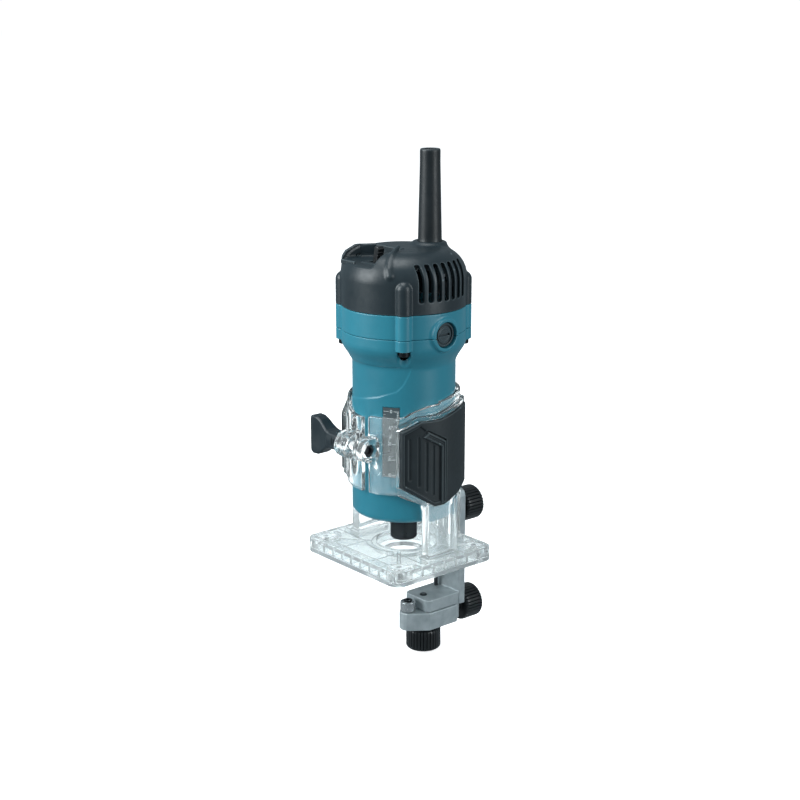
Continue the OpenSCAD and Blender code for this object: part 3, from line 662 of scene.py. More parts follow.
def sole(x, y, z):
    yp = y + F(4)
    bosses = np.hypot(np.abs(x) - F(37), np.minimum(np.abs(y + F(35)), np.abs(y - F(27))))
    d = edge(rrect(x, yp, 92, 81, 7), slab(z, 0, 2.96), 0.5)
    r = np.hypot(x, y)
    d = smax(d, -(r - F(12.5)), 0.6)
    d = smax(d, -(bosses - F(1.75)), 0.2)
    return smax(d, -(bosses - F(3.6) + np.maximum(z, 0)), 0.2)


RIDGE = [(-15.3, 88.6), (-12.2, 91.6), (-0.2, 84.6), (-0.2, 45.4), (-3.4, 44.6), (-3.4, 81.4)]
FLUTED = [(-25.0, 58.2), (-25.0, 90.3), (-16.6, 95.6), (-12.9, 91.9), (-0.9, 84.9), (-0.9, 46.3), (-8, 46.2)]


def grip(x, y, z):
    r = np.hypot(x, y)
    g2 = poly2(y, z, GRIP) + F(0.25)
    # the front field lies lower and is fluted
    fl = poly2(y, z, FLUTED)
    surf = r - F(40) + F(1.25) * smooth(F(0.5) - fl / F(1.0))
    for yc, z0, z1 in ((-21.6, 61.5, 87.0), (-16.8, 57.5, 88.0), (-12.2, 54.0, 84.5), (-7.8, 51.0, 81.5)):
        g = np.hypot(y - F(yc), z - np.clip(z, F(z0), F(z1)))
        surf = surf + F(0.8) * smooth(F(1.25) - g / F(0.95))
    d = edge(g2, surf, 0.7)
    d = np.maximum(d, F(35.65) - r)
    d = np.maximum(d, F(14) - x)
    # angled finger ridge, doubled, with a groove behind it
    rd = poly2(y, z, RIDGE) + F(0.1)
    top = r - F(41) + F(0.55) * smooth(F(1.2) - np.abs(rd + F(1.55)) / F(0.55))
    ridge = edge(rd, np.maximum(top, F(37) - r), 0.45)
    groove = np.maximum(np.abs(rd - F(0.55)) - F(0.45), F(38.6) - r)
    back = line2(y, z, [(-12.6, 92.2), (0.3, 84.9), (0.3, 45.6)]) - F(0.62)
    d = smax(d, -np.maximum(back, F(38.4) - r), 0.3)
    d = smin(d, np.maximum(ridge, F(14) - x), 0.3)
    return d


def wing(x, y, z):
    ly, lz = y - F(BOLT_Y), z - F(BOLT_Z)
    side = [(-41, -9.3), (-40.8, -10.9), (-39.9, -12.0), (-38, -12.7), (-33.5, -12.4), (-30, -10.9), (-27, -8.6), (-23.5, -6.3), (-20, -5.4), (-11.5, -5.0)]
    side = side + [(a, -b) for a, b in side[::-1]]
    a = poly2(x, lz, side)
    plan = [(-41.1, -3.6), (-38, -4.1), (-30.5, -4.2), (-24, -5.0), (-11.5, -5.2)]
    plan = plan + [(p, -q) for p, q in plan[::-1]]
    b = poly2(x, ly, plan)
    d = edge(a, b, 1.5)
    d = smin(d, disc(ly, lz, x, 5.2, -22, -11.7, 0.7), 2.0)
    # shallow dishes for finger and thumb
    for s in (-1, 1):
        q = np.sqrt(((x + F(33.0)) * F(0.62)) ** 2 + (lz * F(0.5)) ** 2 + (ly - F(s * 10.4)) ** 2) - F(7.0)
        d = smax(d, -q, 1.6)
    # a step round the outer end
    d = smax(d, -(np.abs(np.abs(ly) - F(4.9)) - F(0.9) + np.maximum(x + F(38.2), 0) * 4), 0.5)
    for k in (-16.4, -14.4):
        d = smax(d, -(np.hypot(np.hypot(ly, lz) - F(5.4), x - F(k)) - F(0.45)), 0.25)
    return smax(d, -np.maximum(np.hypot(ly, lz) - F(2.52), -(x + F(29.5))), 0.3)


def nut(x, y, z):
    a = math.radians(20)
    u, v = x * F(math.cos(a)) + y * F(math.sin(a)), -x * F(math.sin(a)) + y * F(math.cos(a))
    h = F(0.8660254)
    hexd = np.maximum(np.maximum(np.abs(u * h + v * F(0.5)), np.abs(u * h - v * F(0.5))), np.abs(v)) - F(8.5)
    r = np.hypot(x, y)
    lower = smax(r - F(9.75), -(z - F(11.5)), 1.2)
    cone = (r - F(7.8)) * F(0.75) - (z - F(11.5)) * F(0.66) - 0.1
    d = edge(hexd, slab(z, 11.5, 28), 0.35)
    d = smax(d, np.maximum(lower, cone), 0.3)
    top = (r - F(9.75)) + (z - F(27.4))
    d = smax(d, top * F(0.7), 0.3)
    d = smax(d, -np.maximum(r - F(6.05), F(14.4) - z), 0.1)
    d = smax(d, -(r - F(4.5)), 0.5)
    # a shallow groove under the flats' upper end
    return smax(d, -(np.hypot(r - F(9.9), z - F(25.2)) - F(1.0)), 0.3)


def cap(x, y, z):
    q = np.hypot(y, z - F(BRUSH_Z))
    d = edge(q - F(7.5), slab(x, 34.65, 38.4), 0.45)
    d = smax(d, -edge(np.abs(q - F(5.75)) - F(0.5), F(37.2) - x, 0.1), 0.25)
    d = smax(d, -np.maximum(q - F(5.3), F(38.05) - x), 0.25)
    d = smin(d, edge(np.abs(q - F(3.9)) - F(0.25), slab(x, 37.5, 38.2), 0.1), 0.15)
    d = np.minimum(d, edge(q - F(5.45), slab(x, 30, 35.2), 0.3))
    slot = edge(edge(np.abs(y) - F(4.4), np.abs(z - F(BRUSH_Z)) - F(0.7), 0.3), F(36.7) - x, 0.1)
    return smax(d, -slot, 0.25)


def lever(x, y, z):
    a = math.radians(10)
    lx, ly, lz = x - F(LEVER[0]), y - F(LEVER[1]), z - F(LEVER[2])
    u, w = lx * F(math.cos(a)) - lz * F(math.sin(a)), lx * F(math.sin(a)) + lz * F(math.cos(a))
    half = F(2.0)
    d = edge(edge(np.abs(u) - half, w - F(16.2), 1.55), np.maximum(np.abs(ly) - F(2.5), -w), 0.5)
    for k in (9.6, 11.4, 13.2):
        d = smax(d, -(np.hypot(np.abs(u) - F(2.15), w - F(k)) - F(0.42)), 0.25)
    d = smin(d, edge(np.hypot(u, w) - F(3.2), np.abs(ly) - F(2.7), 0.3), 0.5)
    return np.minimum(d, edge(np.hypot(u, w) - F(1.2), np.abs(ly) - F(4.5), 0.2))


def bracket(x, y, z):
    bar = poly2(x, z, [(-13, -41), (13, -41), (13, 33), (11.5, 36.6), (8, 38), (-8, 38), (-11.5, 36.6), (-13, 33)])
    d = edge(bar, slab(y, 37.1, 42), 0.6)
    tab = edge(np.abs(x) - F(7.5), slab(z, -54, -38), 1.2)
    d = smin(d, edge(tab, slab(y, 37.1, 42), 0.6), 0.8)
    foot = poly2(x, y, [(-12, 40), (-12, 14.5), (-11.6, 12.7), (-10.6, 11.4), (-9.2, 10.7), (-8, 10.5), (8, 10.5), (9.2, 10.7), (10.6, 11.4), (11.6, 12.7), (12, 14.5), (12, 40)])
    d = smin(d, edge(foot, slab(z, -41, -33), 0.55), 1.0)
    s = np.hypot(x, z - np.clip(z, F(12.3), F(29.7))) - F(3.3)
    d = smax(d, -np.maximum(s, F(33) - y), 0.5)
    # a shallow guide channel down the bar's back
    ch = edge(np.abs(x) - F(8.4), slab(z, 4, 45), 0.5)
    d = smax(d, -np.maximum(np.maximum(np.abs(np.abs(x) - F(9.6)) - F(0.35), slab(z, -28, 33)), F(41.55) - y), 0.25)
    d = smax(d, -(np.hypot(x, z + F(47)) - F(2.55)), 0.4)
    d = smax(d, -np.maximum(np.hypot(x, y - F(17)) - F(2.5), z + F(30)), 0.5)
    return np.maximum(d, -np.maximum(np.hypot(x + F(7.4), y - F(34.4)) - F(1.3), F(-36) - z))


def slider(x, y, z):
    pts = [(-13, 35.3), (13, 35.3), (13, 11.5), (5.4, 1.2), (3.6, -0.6), (1.4, -1.5), (-1.4, -1.5), (-3.6, -0.6), (-5.4, 1.2), (-13, 11.5)]
    d = edge(poly2(x, y, pts), slab(z, -53.2, -41.2), 0.6)
    s = np.hypot(x, y - np.clip(y, F(17), F(27))) - F(2.7)
    d = smax(d, -s, 0.5)
    d = np.maximum(d, -np.maximum(np.hypot(x, z + F(47)) - F(2.53), F(28) - y))
    return smax(d, -np.maximum(np.hypot(x, y - F(3.6)) - F(1.55), F(-50) - z), 0.3)


def roller_ring(x, y, z):
    r = np.hypot(x, y - F(3.6))
    d = edge(r - F(5), slab(z, -40.6, -34.1), 0.45)
    d = smax(d, -(r - F(1.55)), 0.2)
    for z0, z1 in ((-42, -40.25), (-34.9, -33)):
        d = smax(d, -np.maximum(np.abs(r - F(3.2)) - F(0.75), slab(z, z0, z1)), 0.15)
    return d


pieces = {}


def keep(ob, body, slot_name, material, *nodes):
    pieces[ob.name] = ob
    ob.data.materials.clear()
    ob.data.materials.append(material)
    if nodes:
        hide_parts(*nodes)
    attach(ob, body)
    return ob

# ------------------------------------------------------------------ materials


def rgb(r, g, b):
    out = []
    for c in (r, g, b):
        c /= 255
        out.append(c / 12.92 if c <= 0.04045 else ((c + 0.055) / 1.055) ** 2.4)
    return tuple(out) + (1.0,)


def material(name, dark, light, rough=(0.35, 0.5), grain=1600, bump=0.05, metallic=0.0, streak=None,
             mottle=35.0, wear_and_edge_highlight=None, coat=0.0, coat_rough=0.2, transmission=0.0, ior=1.5, spec=0.5, fleck=None):
    """A procedural finish: two tones mixed by noise, roughness and a fine grain from their own noises, and lighter
    edges that are part wear, part painted highlight.
    """
    m = bpy.data.materials.new(name)
    m.use_nodes = True
    nt = m.node_tree
    nt.nodes.clear()
    N, L = nt.nodes.new, nt.links.new
    out = N("ShaderNodeOutputMaterial")
    b = N("ShaderNodeBsdfPrincipled")
    L(b.outputs["BSDF"], out.inputs["Surface"])
    b.inputs["Metallic"].default_value = metallic
    b.inputs["IOR"].default_value = ior
    b.inputs["Specular IOR Level"].default_value = spec
    b.inputs["Coat Weight"].default_value = coat
    b.inputs["Coat Roughness"].default_value = coat_rough
    b.inputs["Transmission Weight"].default_value = transmission
    tc = N("ShaderNodeTexCoord")
    src = tc.outputs["Object"]
    if streak:
        mp = N("ShaderNodeMapping")
        mp.inputs["Scale"].default_value = streak
        L(src, mp.inputs["Vector"])
        src = mp.outputs["Vector"]

    def noise(scale, detail=3.0, roughness=0.55, vector=None):
        n = N("ShaderNodeTexNoise")
        n.inputs["Scale"].default_value = scale
        n.inputs["Detail"].default_value = detail
        n.inputs["Roughness"].default_value = roughness
        L(vector or tc.outputs["Object"], n.inputs["Vector"])
        return n.outputs["Fac"]

    ramp = N("ShaderNodeValToRGB")
    ramp.color_ramp.elements[0].position = 0.3
    ramp.color_ramp.elements[1].position = 0.7
    ramp.color_ramp.elements[0].color = dark
    ramp.color_ramp.elements[1].color = light
    L(noise(mottle, 5.0, vector=src), ramp.inputs["Fac"])
    colour = ramp.outputs["Color"]
    if fleck:
        fr = N("ShaderNodeValToRGB")
        fr.color_ramp.elements[0].position = 0.66
        fr.color_ramp.elements[1].position = 0.74
        L(noise(grain * 0.6, 2.0), fr.inputs["Fac"])
        mx = N("ShaderNodeMix")
        mx.data_type = "RGBA"
        L(fr.outputs["Color"], mx.inputs["Factor"])
        L(colour, mx.inputs["A"])
        mx.inputs["B"].default_value = fleck
        colour = mx.outputs["Result"]
    # convex edges, found by pointiness, are mixed toward the given lighter colour: part wear, part painted edge
    # highlight
    if wear_and_edge_highlight:
        geo = N("ShaderNodeNewGeometry")
        wr = N("ShaderNodeValToRGB")
        wr.color_ramp.elements[0].position = 0.515
        wr.color_ramp.elements[1].position = 0.60
        wr.color_ramp.elements[1].color = (0.45, 0.45, 0.45, 1)
        L(geo.outputs["Pointiness"], wr.inputs["Fac"])
        mx = N("ShaderNodeMix")
        mx.data_type = "RGBA"
        L(wr.outputs["Color"], mx.inputs["Factor"])
        L(colour, mx.inputs["A"])
        mx.inputs["B"].default_value = wear_and_edge_highlight
        colour = mx.outputs["Result"]
    L(colour, b.inputs["Base Color"])
    mr = N("ShaderNodeMapRange")
    mr.inputs["From Min"].default_value = 0.3
    mr.inputs["From Max"].default_value = 0.7
    mr.inputs["To Min"].default_value = rough[0]
    mr.inputs["To Max"].default_value = rough[1]
    L(noise(mottle * 7, 4.0, vector=src), mr.inputs["Value"])
    L(mr.outputs["Result"], b.inputs["Roughness"])
    if bump:
        bp = N("ShaderNodeBump")
        bp.inputs["Strength"].default_value = min(1.0, bump * 6)
        bp.inputs["Distance"].default_value = bump * 0.001
        L(noise(grain, 2.0, 0.6, vector=src), bp.inputs["Height"])
        L(bp.outputs["Normal"], b.inputs["Normal"])
        if coat:
            pass
    return m


# the lighter edge colour of each material below is part wear, part painted highlight on its convex edges
TEAL = material("teal_plastic", rgb(34, 119, 139), rgb(43, 131, 151), rough=(0.32, 0.42), grain=2600, bump=0.012,
                mottle=22, wear_and_edge_highlight=rgb(72, 150, 166), coat=0.1, coat_rough=0.25)
DARK = material("dark_plastic", rgb(22, 34, 40), rgb(29, 42, 48), rough=(0.34, 0.46), grain=3000, bump=0.018,
                mottle=30, wear_and_edge_highlight=rgb(120, 136, 142))
GRIPM = material("grip_rubber", rgb(22, 32, 36), rgb(30, 41, 46), rough=(0.46, 0.60), grain=3400, bump=0.03,
                 mottle=45, wear_and_edge_highlight=rgb(150, 166, 170))
BLACK = material("black_plastic", rgb(9, 12, 14), rgb(16, 20, 23), rough=(0.28, 0.42), grain=2400, bump=0.02,
                 mottle=60, wear_and_edge_highlight=rgb(92, 98, 102), coat=0.15)
GUARDM = material("guard_rubber", rgb(10, 18, 22), rgb(17, 26, 31), rough=(0.38, 0.5), grain=2800, bump=0.02,
                  mottle=40, wear_and_edge_highlight=rgb(100, 110, 116))
BLACKSTEEL = material("black_steel", rgb(24, 28, 31), rgb(38, 43, 47), rough=(0.26, 0.42), grain=1500, bump=0.012,
                      metallic=0.75, mottle=80, wear_and_edge_highlight=rgb(120, 125, 130))
STEEL = material("steel", rgb(170, 175, 178), rgb(205, 209, 211), rough=(0.18, 0.32), grain=1400, bump=0.01,
                 metallic=0.75, mottle=90, wear_and_edge_highlight=rgb(225, 227, 230))
ALU = material("aluminium", rgb(158, 168, 172), rgb(184, 193, 196), rough=(0.34, 0.48), grain=2200, bump=0.03,
               metallic=0.4, mottle=160, wear_and_edge_highlight=rgb(232, 236, 238), fleck=rgb(150, 158, 162))
ALU_TOP = material("milled_aluminium", rgb(140, 146, 152), rgb(172, 178, 184), rough=(0.3, 0.42), grain=900, bump=0.02,
                   metallic=0.9, mottle=60, streak=(1.0, 14.0, 1.0), wear_and_edge_highlight=rgb(225, 230, 233))
COPPER = material("copper", rgb(150, 84, 44), rgb(198, 120, 70), rough=(0.25, 0.4), grain=900, bump=0.02, metallic=1.0, mottle=120)
BRASS = material("brass", rgb(168, 134, 66), rgb(204, 172, 98), rough=(0.25, 0.4), grain=900, bump=0.01, metallic=1.0, mottle=90)
CAPM = material("cap_plastic", rgb(38, 52, 58), rgb(48, 62, 68), rough=(0.3, 0.44), grain=2400, bump=0.02,
                mottle=60, wear_and_edge_highlight=rgb(120, 150, 158), coat=0.15)
CARBON = material("carbon", rgb(26, 26, 28), rgb(40, 40, 43), rough=(0.5, 0.7), grain=2500, bump=0.02, mottle=140)
SHEATH = material("wire_sheath", rgb(28, 30, 70), rgb(38, 42, 92), rough=(0.35, 0.5), grain=1500, bump=0.01, mottle=90)


def clear_material(name, tint, rough=(0.02, 0.06), haze=0.0, low_haze=0.0, ripple=0.00001):
    """Clear moulded plastic: glass-like, with a faint flow pattern, a little haze and fine moulding ripples."""
    m = bpy.data.materials.new(name)
    m.use_nodes = True
    nt = m.node_tree
    nt.nodes.clear()
    N, L = nt.nodes.new, nt.links.new
    out = N("ShaderNodeOutputMaterial")
    b = N("ShaderNodeBsdfPrincipled")
    L(b.outputs["BSDF"], out.inputs["Surface"])
    b.inputs["IOR"].default_value = 1.49
    tc = N("ShaderNodeTexCoord")

    def noise(scale, detail=3.0):
        n = N("ShaderNodeTexNoise")
        n.inputs["Scale"].default_value = scale
        n.inputs["Detail"].default_value = detail
        L(tc.outputs["Object"], n.inputs["Vector"])
        return n.outputs["Fac"]

    ramp = N("ShaderNodeValToRGB")
    ramp.color_ramp.elements[0].position = 0.35
    ramp.color_ramp.elements[1].position = 0.65
    ramp.color_ramp.elements[0].color = tint
    ramp.color_ramp.elements[1].color = tuple(min(1.0, c * 1.03) for c in tint[:3]) + (1.0,)
    L(noise(30, 4.0), ramp.inputs["Fac"])
    L(ramp.outputs["Color"], b.inputs["Base Color"])
    mr = N("ShaderNodeMapRange")
    mr.inputs["From Min"].default_value = 0.35
    mr.inputs["From Max"].default_value = 0.65
    mr.inputs["To Min"].default_value = rough[0]
    mr.inputs["To Max"].default_value = rough[1]
    L(noise(120, 3.0), mr.inputs["Value"])
    L(mr.outputs["Result"], b.inputs["Roughness"])
    tr = N("ShaderNodeMapRange")
    tr.inputs["From Min"].default_value = 0.3
    tr.inputs["From Max"].default_value = 0.7
    tr.inputs["To Min"].default_value = 1.0 - haze * 1.4
    tr.inputs["To Max"].default_value = 1.0 - haze * 0.6
    L(noise(55, 4.0), tr.inputs["Value"])
    sep = N("ShaderNodeSeparateXYZ")
    L(tc.outputs["Object"], sep.inputs["Vector"])
    lo = N("ShaderNodeMapRange")
    lo.inputs["From Min"].default_value = 0.040
    lo.inputs["From Max"].default_value = 0.056
    lo.inputs["To Min"].default_value = 1.0 - low_haze
    lo.inputs["To Max"].default_value = 1.0
    L(sep.outputs["Z"], lo.inputs["Value"])
    mu = N("ShaderNodeMath")
    mu.operation = "MULTIPLY"
    L(tr.outputs["Result"], mu.inputs[0])
    L(lo.outputs["Result"], mu.inputs[1])
    L(mu.outputs["Value"], b.inputs["Transmission Weight"])
    bp = N("ShaderNodeBump")
    bp.inputs["Strength"].default_value = 0.2
    bp.inputs["Distance"].default_value = ripple
    L(noise(140, 2.0), bp.inputs["Height"])
    L(bp.outputs["Normal"], b.inputs["Normal"])
    return m


CLEAR = clear_material("clear_plastic", (0.93, 0.975, 0.985, 1.0), rough=(0.01, 0.04), haze=0.045, low_haze=0.14)
SOLE = clear_material("sole_plastic", (0.9, 0.95, 0.96, 1.0), rough=(0.02, 0.08), haze=0.10, low_haze=0.1)


def scale_material():
    m = material("scale_plate", rgb(62, 72, 76), rgb(74, 85, 89), rough=(0.35, 0.5), grain=3000, bump=0.012, mottle=50)
    return m


SCALE = scale_material()
PRINT = material("scale_print", rgb(206, 216, 218), rgb(226, 233, 234), rough=(0.4, 0.55), grain=2500, bump=0.01, mottle=120)

# ------------------------------------------------------------------ moulded parts

keep(solid("cover_shell", cover, (-43, -43, 163.5), (43, 43, 201), (0.5, 0.5, 0.5)), "motor", "dark_plastic", DARK, "top_cover")
keep(solid("motor_case", housing, (-41, -41, 30.5), (41, 41, 149.5), (0.55, 0.55, 0.75)), "motor", "teal_plastic", TEAL, "motor_housing")
keep(solid("brush_housing", ring, (-43, -43, 148.5), (43, 43, 167), 0.5), "motor", "teal_plastic", TEAL, "brush_ring")
keep(solid("clear_base", base, (-46.5, -49, 2.5), (46.5, 37.5, 113), 0.5), "base", "clear_plastic", CLEAR, "base_body")
keep(solid("sole_plate", sole, (-46.5, -45, -0.3), (46.5, 37, 3.2), (0.6, 0.6, 0.4)), "base", "sole_plastic", SOLE, "base_protector")
g = solid("grip_pad_right", grip, (13.5, -31, 42.5), (41.5, 24, 105), 0.36)
g2 = mirrored(g, "grip_pad_left")
keep(g, "base", "grip_rubber", GRIPM, "grip_right")
keep(g2, "base", "grip_rubber", GRIPM, "grip_left")
keep(solid("wing_handle", wing, (-41.5, -46, 66), (-11, -33, 93), 0.3), "wing_screw", "dark_plastic", DARK, "wing_knob")
keep(solid("hex_nut_collet", nut, (-10.2, -10.2, 11), (10.2, 10.2, 28.5), 0.22), "collet_nut", "black_steel", BLACKSTEEL, "collet_nut")
c = solid("brush_plug_right", cap, (29.5, -8, 142.5), (38.7, 8, 158.5), 0.16)
c2 = mirrored(c, "brush_plug_left")
keep(c, "brush_cap_right", "black_plastic", CAPM, "brush_cap_right")
keep(c2, "brush_cap_left", "black_plastic", CAPM, "brush_cap_left")
keep(solid("toggle", lever, (-6, -26, 181), (7, -15, 203), 0.18), "switch_lever", "black_plastic", BLACK, "switch_lever")
keep(solid("guide_plate", bracket, (-13.5, 10, -54.5), (13.5, 42.5, 38.5), 0.38), "guide_bracket", "aluminium", ALU, "guide_bracket")
keep(solid("guide_block", slider, (-13.5, -2, -53.5), (13.5, 35.8, -40.8), 0.36), "slider", "aluminium", ALU, "guide_slider")
keep(solid("bearing_roller", roller_ring, (-5.3, -1.7, -40.9), (5.3, 8.9, -33.9), 0.16), "roller", "steel", STEEL, "guide_roller")

# ------------------------------------------------------------------ cord guard


def guard_rings():
    z0 = 186.2
    pts = [(3.8, 257.6), (3.8, z0), (6.4, z0), (6.4, 189.4), (9.35, 189.5), (9.35, 192.3), (7.7, 192.4)]
    outer = [(7.7, 200.0), (7.75, 200.4), (7.6, 201.2), (7.5, 202.0)]
    n = 40
    for i in range(n + 1):
        t = i / n
        z = 202.4 + (256.3 - 202.4) * t
        outer.append((7.45 + (6.35 - 7.45) * min(1.0, t * 1.15), z))
    outer += [(6.3, 256.9), (6.05, 257.4), (5.75, 257.6), (4.3, 257.6), (3.8, 257.3)]
    dense = []
    ring_pts = [(3.8, 257.3 - 71.1 * i / 30) for i in range(31)] + pts[2:] + outer[:-1]
    for q in ring_pts:
        if not dense or math.hypot(q[0] - dense[-1][0], q[1] - dense[-1][1]) > 1e-6:
            dense.append(q)
    return dense


g = lathe("cord_sleeve", [(r, z) for r, z in guard_rings()][::1], 72, None, along_z(0, 0, GUARD_Y), caps=False)
bm = bmesh.new()
bm.from_mesh(g.data)
bmesh.ops.recalc_face_normals(bm, faces=bm.faces)
bm.to_mesh(g.data)
bm.free()
sharpen(g, 40)
keep(g, "motor", "rubber", GUARDM, "cord_guard")

# ------------------------------------------------------------------ knurled knobs


def knurled(name, place, height, collar_r, collar_h, teeth=32, r=11.4, bore=2.9):
    rows = []
    if collar_h:
        rows += [(bore, 0.0), (collar_r - 0.5, 0.0), (collar_r, 0.5), (collar_r, collar_h - 0.3), (collar_r + 0.3, collar_h)]
    else:
        rows += [(bore, 0.0)]
    h0 = collar_h
    rows += [(r - 1.9, h0), (r - 1.2, h0 + 0.15), (r - 0.55, h0 + 0.6), (r - 0.12, h0 + 1.15), (r, h0 + 1.7)]
    rows += [(r, h0 + 1.7 + (height - h0 - 3.6) * i / 4) for i in range(1, 5)]
    rows += [(r - 0.1, height - 1.4), (r - 0.5, height - 0.85), (r - 1.1, height - 0.4), (r - 1.7, height - 0.12), (r - 2.4, height),
             (r - 3.6, height), (r - 4.0, height - 0.12), (r - 4.3, height - 0.5), (r - 4.6, height - 0.62), (2.4, height - 0.62), (1.6, height - 0.35), (0.02, height - 0.3)]

    def radius(a, rr, z):
        deep = 0.78 * min(1.0, max(0.0, (rr - (r - 2.0)) / 1.4)) if h0 + 0.05 < z < height else 0
        f = (a * teeth / (2 * math.pi)) % 1.0
        v = np.clip(1 - np.abs(f - 0.5) / 0.21, 0, 1)
        return rr - deep * (v * v * (3 - 2 * v)) - 0 * a

    ob = lathe(name, rows, teeth * 10, radius, place)
    return sharpen(ob, 42)


keep(knurled("knob_upper", along_y(42.3, 0, 22.5), 18.6, 6.6, 4.0), "upper_clamp_screw", "black_plastic", BLACK, "clamp_knob_a")
keep(knurled("knob_adjust", along_y(42.3, 0, -47), 18.6, 5.4, 4.0), "adjusting_screw", "black_plastic", BLACK, "adjust_knob")
keep(knurled("knob_lower", down_z(-55, 0, 17), 14.6, 0, 0.0), "lower_clamp_screw", "black_plastic", BLACK, "clamp_knob_b")

# ------------------------------------------------------------------ studs, screws, nuts and washers

keep(sharpen(thread("stud_upper", 2.95, 17.8, along_y(33.2, 0, 22.5), 1.0, 0.38), 30), "upper_clamp_screw", "steel", STEEL, "clamp_stud_a")
keep(sharpen(thread("screw_adjust", 2.48, 29.8, along_y(21.2, 0, -47), 1.0, 0.34), 30), "adjusting_screw", "steel", STEEL, "adjust_spindle")
keep(sharpen(thread("stud_lower", 2.43, 30.6, down_z(-32.4, 0, 17), 0.8, 0.3), 30), "lower_clamp_screw", "black_steel", BLACKSTEEL, "clamp_stud_b")
keep(sharpen(thread("stud_wing", 2.45, 40.7, along_x(-29.3, BOLT_Y, BOLT_Z), 0.8, 0.3), 30), "wing_screw", "steel", BLACKSTEEL, "wing_stud")


def washer(name, ro, ri, t, place, e=0.2):
    rows = [(ri, t - e * 0.6), (ri, e * 0.6), (ri + e * 0.6, 0), (ro - e, 0), (ro, e), (ro, t - e), (ro - e, t), (ri + e * 0.6, t)]
    ob = lathe(name, rows, 64, None, place, caps=False)
    return fix(ob)


def fix(ob, angle=30):
    b = bmesh.new()
    b.from_mesh(ob.data)
    bmesh.ops.recalc_face_normals(b, faces=b.faces)
    b.to_mesh(ob.data)
    b.free()
    return sharpen(ob, angle)


keep(washer("washer_wing", 5.4, 2.47, 0.85, along_x(-11.3, BOLT_Y, BOLT_Z)), "wing_screw", "steel", STEEL, "wing_washer")
keep(washer("washer_lower", 6.4, 2.46, 1.5, down_z(-53.4, 0, 17), 0.3), "lower_clamp_screw", "steel", STEEL, "clamp_washer")
keep(washer("clip_adjust", 4.0, 2.55, 1.1, along_y(35.85, 0, -47)), "guide_bracket", "steel", STEEL, "adjust_clip")


def hexagon(name, af, t, bore, place, chamfer=0.5, turn=0.0):
    """A hex nut, its corners turned off in a cone at both faces."""
    seg = 96
    corner = af / 2 / math.cos(math.pi / 6)

    def radius(a, rr, z):
        if rr < af / 2 - 0.35:
            return np.full(len(a), rr)
        b = (a + turn) % (math.pi / 3) - math.pi / 6
        flat = af / 2 / np.cos(b)
        return np.minimum(flat, rr)

    rows = [(bore, t - 0.2), (bore, 0.2), (bore + 0.25, 0), (af / 2 - 0.4, 0), (af / 2 - 0.1, 0.02), (corner - 0.25, chamfer * 0.7), (corner + 0.1, chamfer), (corner + 0.1, t - chamfer),
            (corner - 0.25, t - chamfer * 0.7), (af / 2 - 0.1, t - 0.02), (af / 2 - 0.4, t), (bore + 0.25, t)]
    return fix(lathe(name, rows, seg, radius, place, caps=False), 28)


keep(hexagon("nut_clamp", 8, 4, 2.5, along_x(9.6, BOLT_Y, BOLT_Z)), "base", "steel", BLACKSTEEL, "clamp_nut")
keep(hexagon("nut_guide", 10, 2.6, 3.0, lambda p: np.stack([p[:, 0], 35.35 - p[:, 2], p[:, 1] + 22.5], 1)), "base", "steel", STEEL, "guide_mount_nut")

# stop pin, roller screw, sole screws, housing screws
pin = lathe("pin_stop", [(0.9, -36), (1.28, -35.7), (1.28, -25.5), (1.1, -25.15), (0.8, -25)], 40, None, along_z(0, -7.4, 34.4))
keep(sharpen(pin, 40), "guide_bracket", "black_steel", BLACKSTEEL, "stop_pin")


def roller_screw(x, y, z):
    r = np.hypot(x, y - F(3.6))
    d = edge(r - F(1.5), slab(z, -49, -34), 0.2)
    d = np.minimum(d, edge(r - F(2.1), slab(z, -41.1, -40.7), 0.1))
    d = smin(d, edge(r - F(2.7), slab(z, -34.5, -33.0), 0.35), 0.2)
    u, v = x, y - F(3.6)
    hx = np.maximum(np.maximum(np.abs(u * F(0.8660254) + v * F(0.5)), np.abs(u * F(0.8660254) - v * F(0.5))), np.abs(v)) - F(1.25)
    return smax(d, -np.maximum(hx, F(-34.0) - z), 0.15)


keep(solid("screw_roller", roller_screw, (-3.2, 0.4, -49.3), (3.2, 6.8, -31.7), (0.16, 0.16, 0.2)), "slider", "black_steel", BLACKSTEEL, "roller_screw")


def sole_screws(x, y, z):
    bx, by = np.abs(x) - F(37), np.where(np.abs(y + F(35)) < np.abs(y - F(27)), y + F(35), y - F(27))
    r = np.hypot(bx, by)
    d = np.maximum(r - F(3.3) + np.maximum(z - F(0.25), 0) * F(1.0), slab(z, 0.25, 2.2))
    a = np.arctan2(by, bx) / F(2 * math.pi)
    th = np.abs(((z / F(0.9) - a) % 1.0) - F(0.5)) * 2
    d = smin(d, np.maximum(r - F(1.2) - F(0.4) * th, slab(z, 1.5, 8.4)) * F(0.8), 0.3)
    cross = np.minimum(edge(np.abs(bx) - F(2.0), np.abs(by) - F(0.42), 0.2), edge(np.abs(by) - F(2.0), np.abs(bx) - F(0.42), 0.2))
    return smax(d, -np.maximum(cross, z - F(1.2)), 0.15)


one = solid("sole_screw_one", sole_screws, (33.4, 23.4, 0), (40.6, 30.6, 8.7), (0.16, 0.16, 0.16))
parts = []
for sx in (1, -1):
    for yo in (0, -62):
        o = one.copy()
        o.data = one.data.copy()
        bpy.context.scene.collection.objects.link(o)
        o.data.transform(Matrix.Translation((0, yo * 0.001, 0)) if sx == 1 else Matrix.Translation((-0.074, yo * 0.001, 0)))
        parts.append(o)
bpy.data.objects.remove(one)
ob = join("screws_sole", parts)
keep(ob, "base", "steel", BLACKSTEEL, "protector_screws")


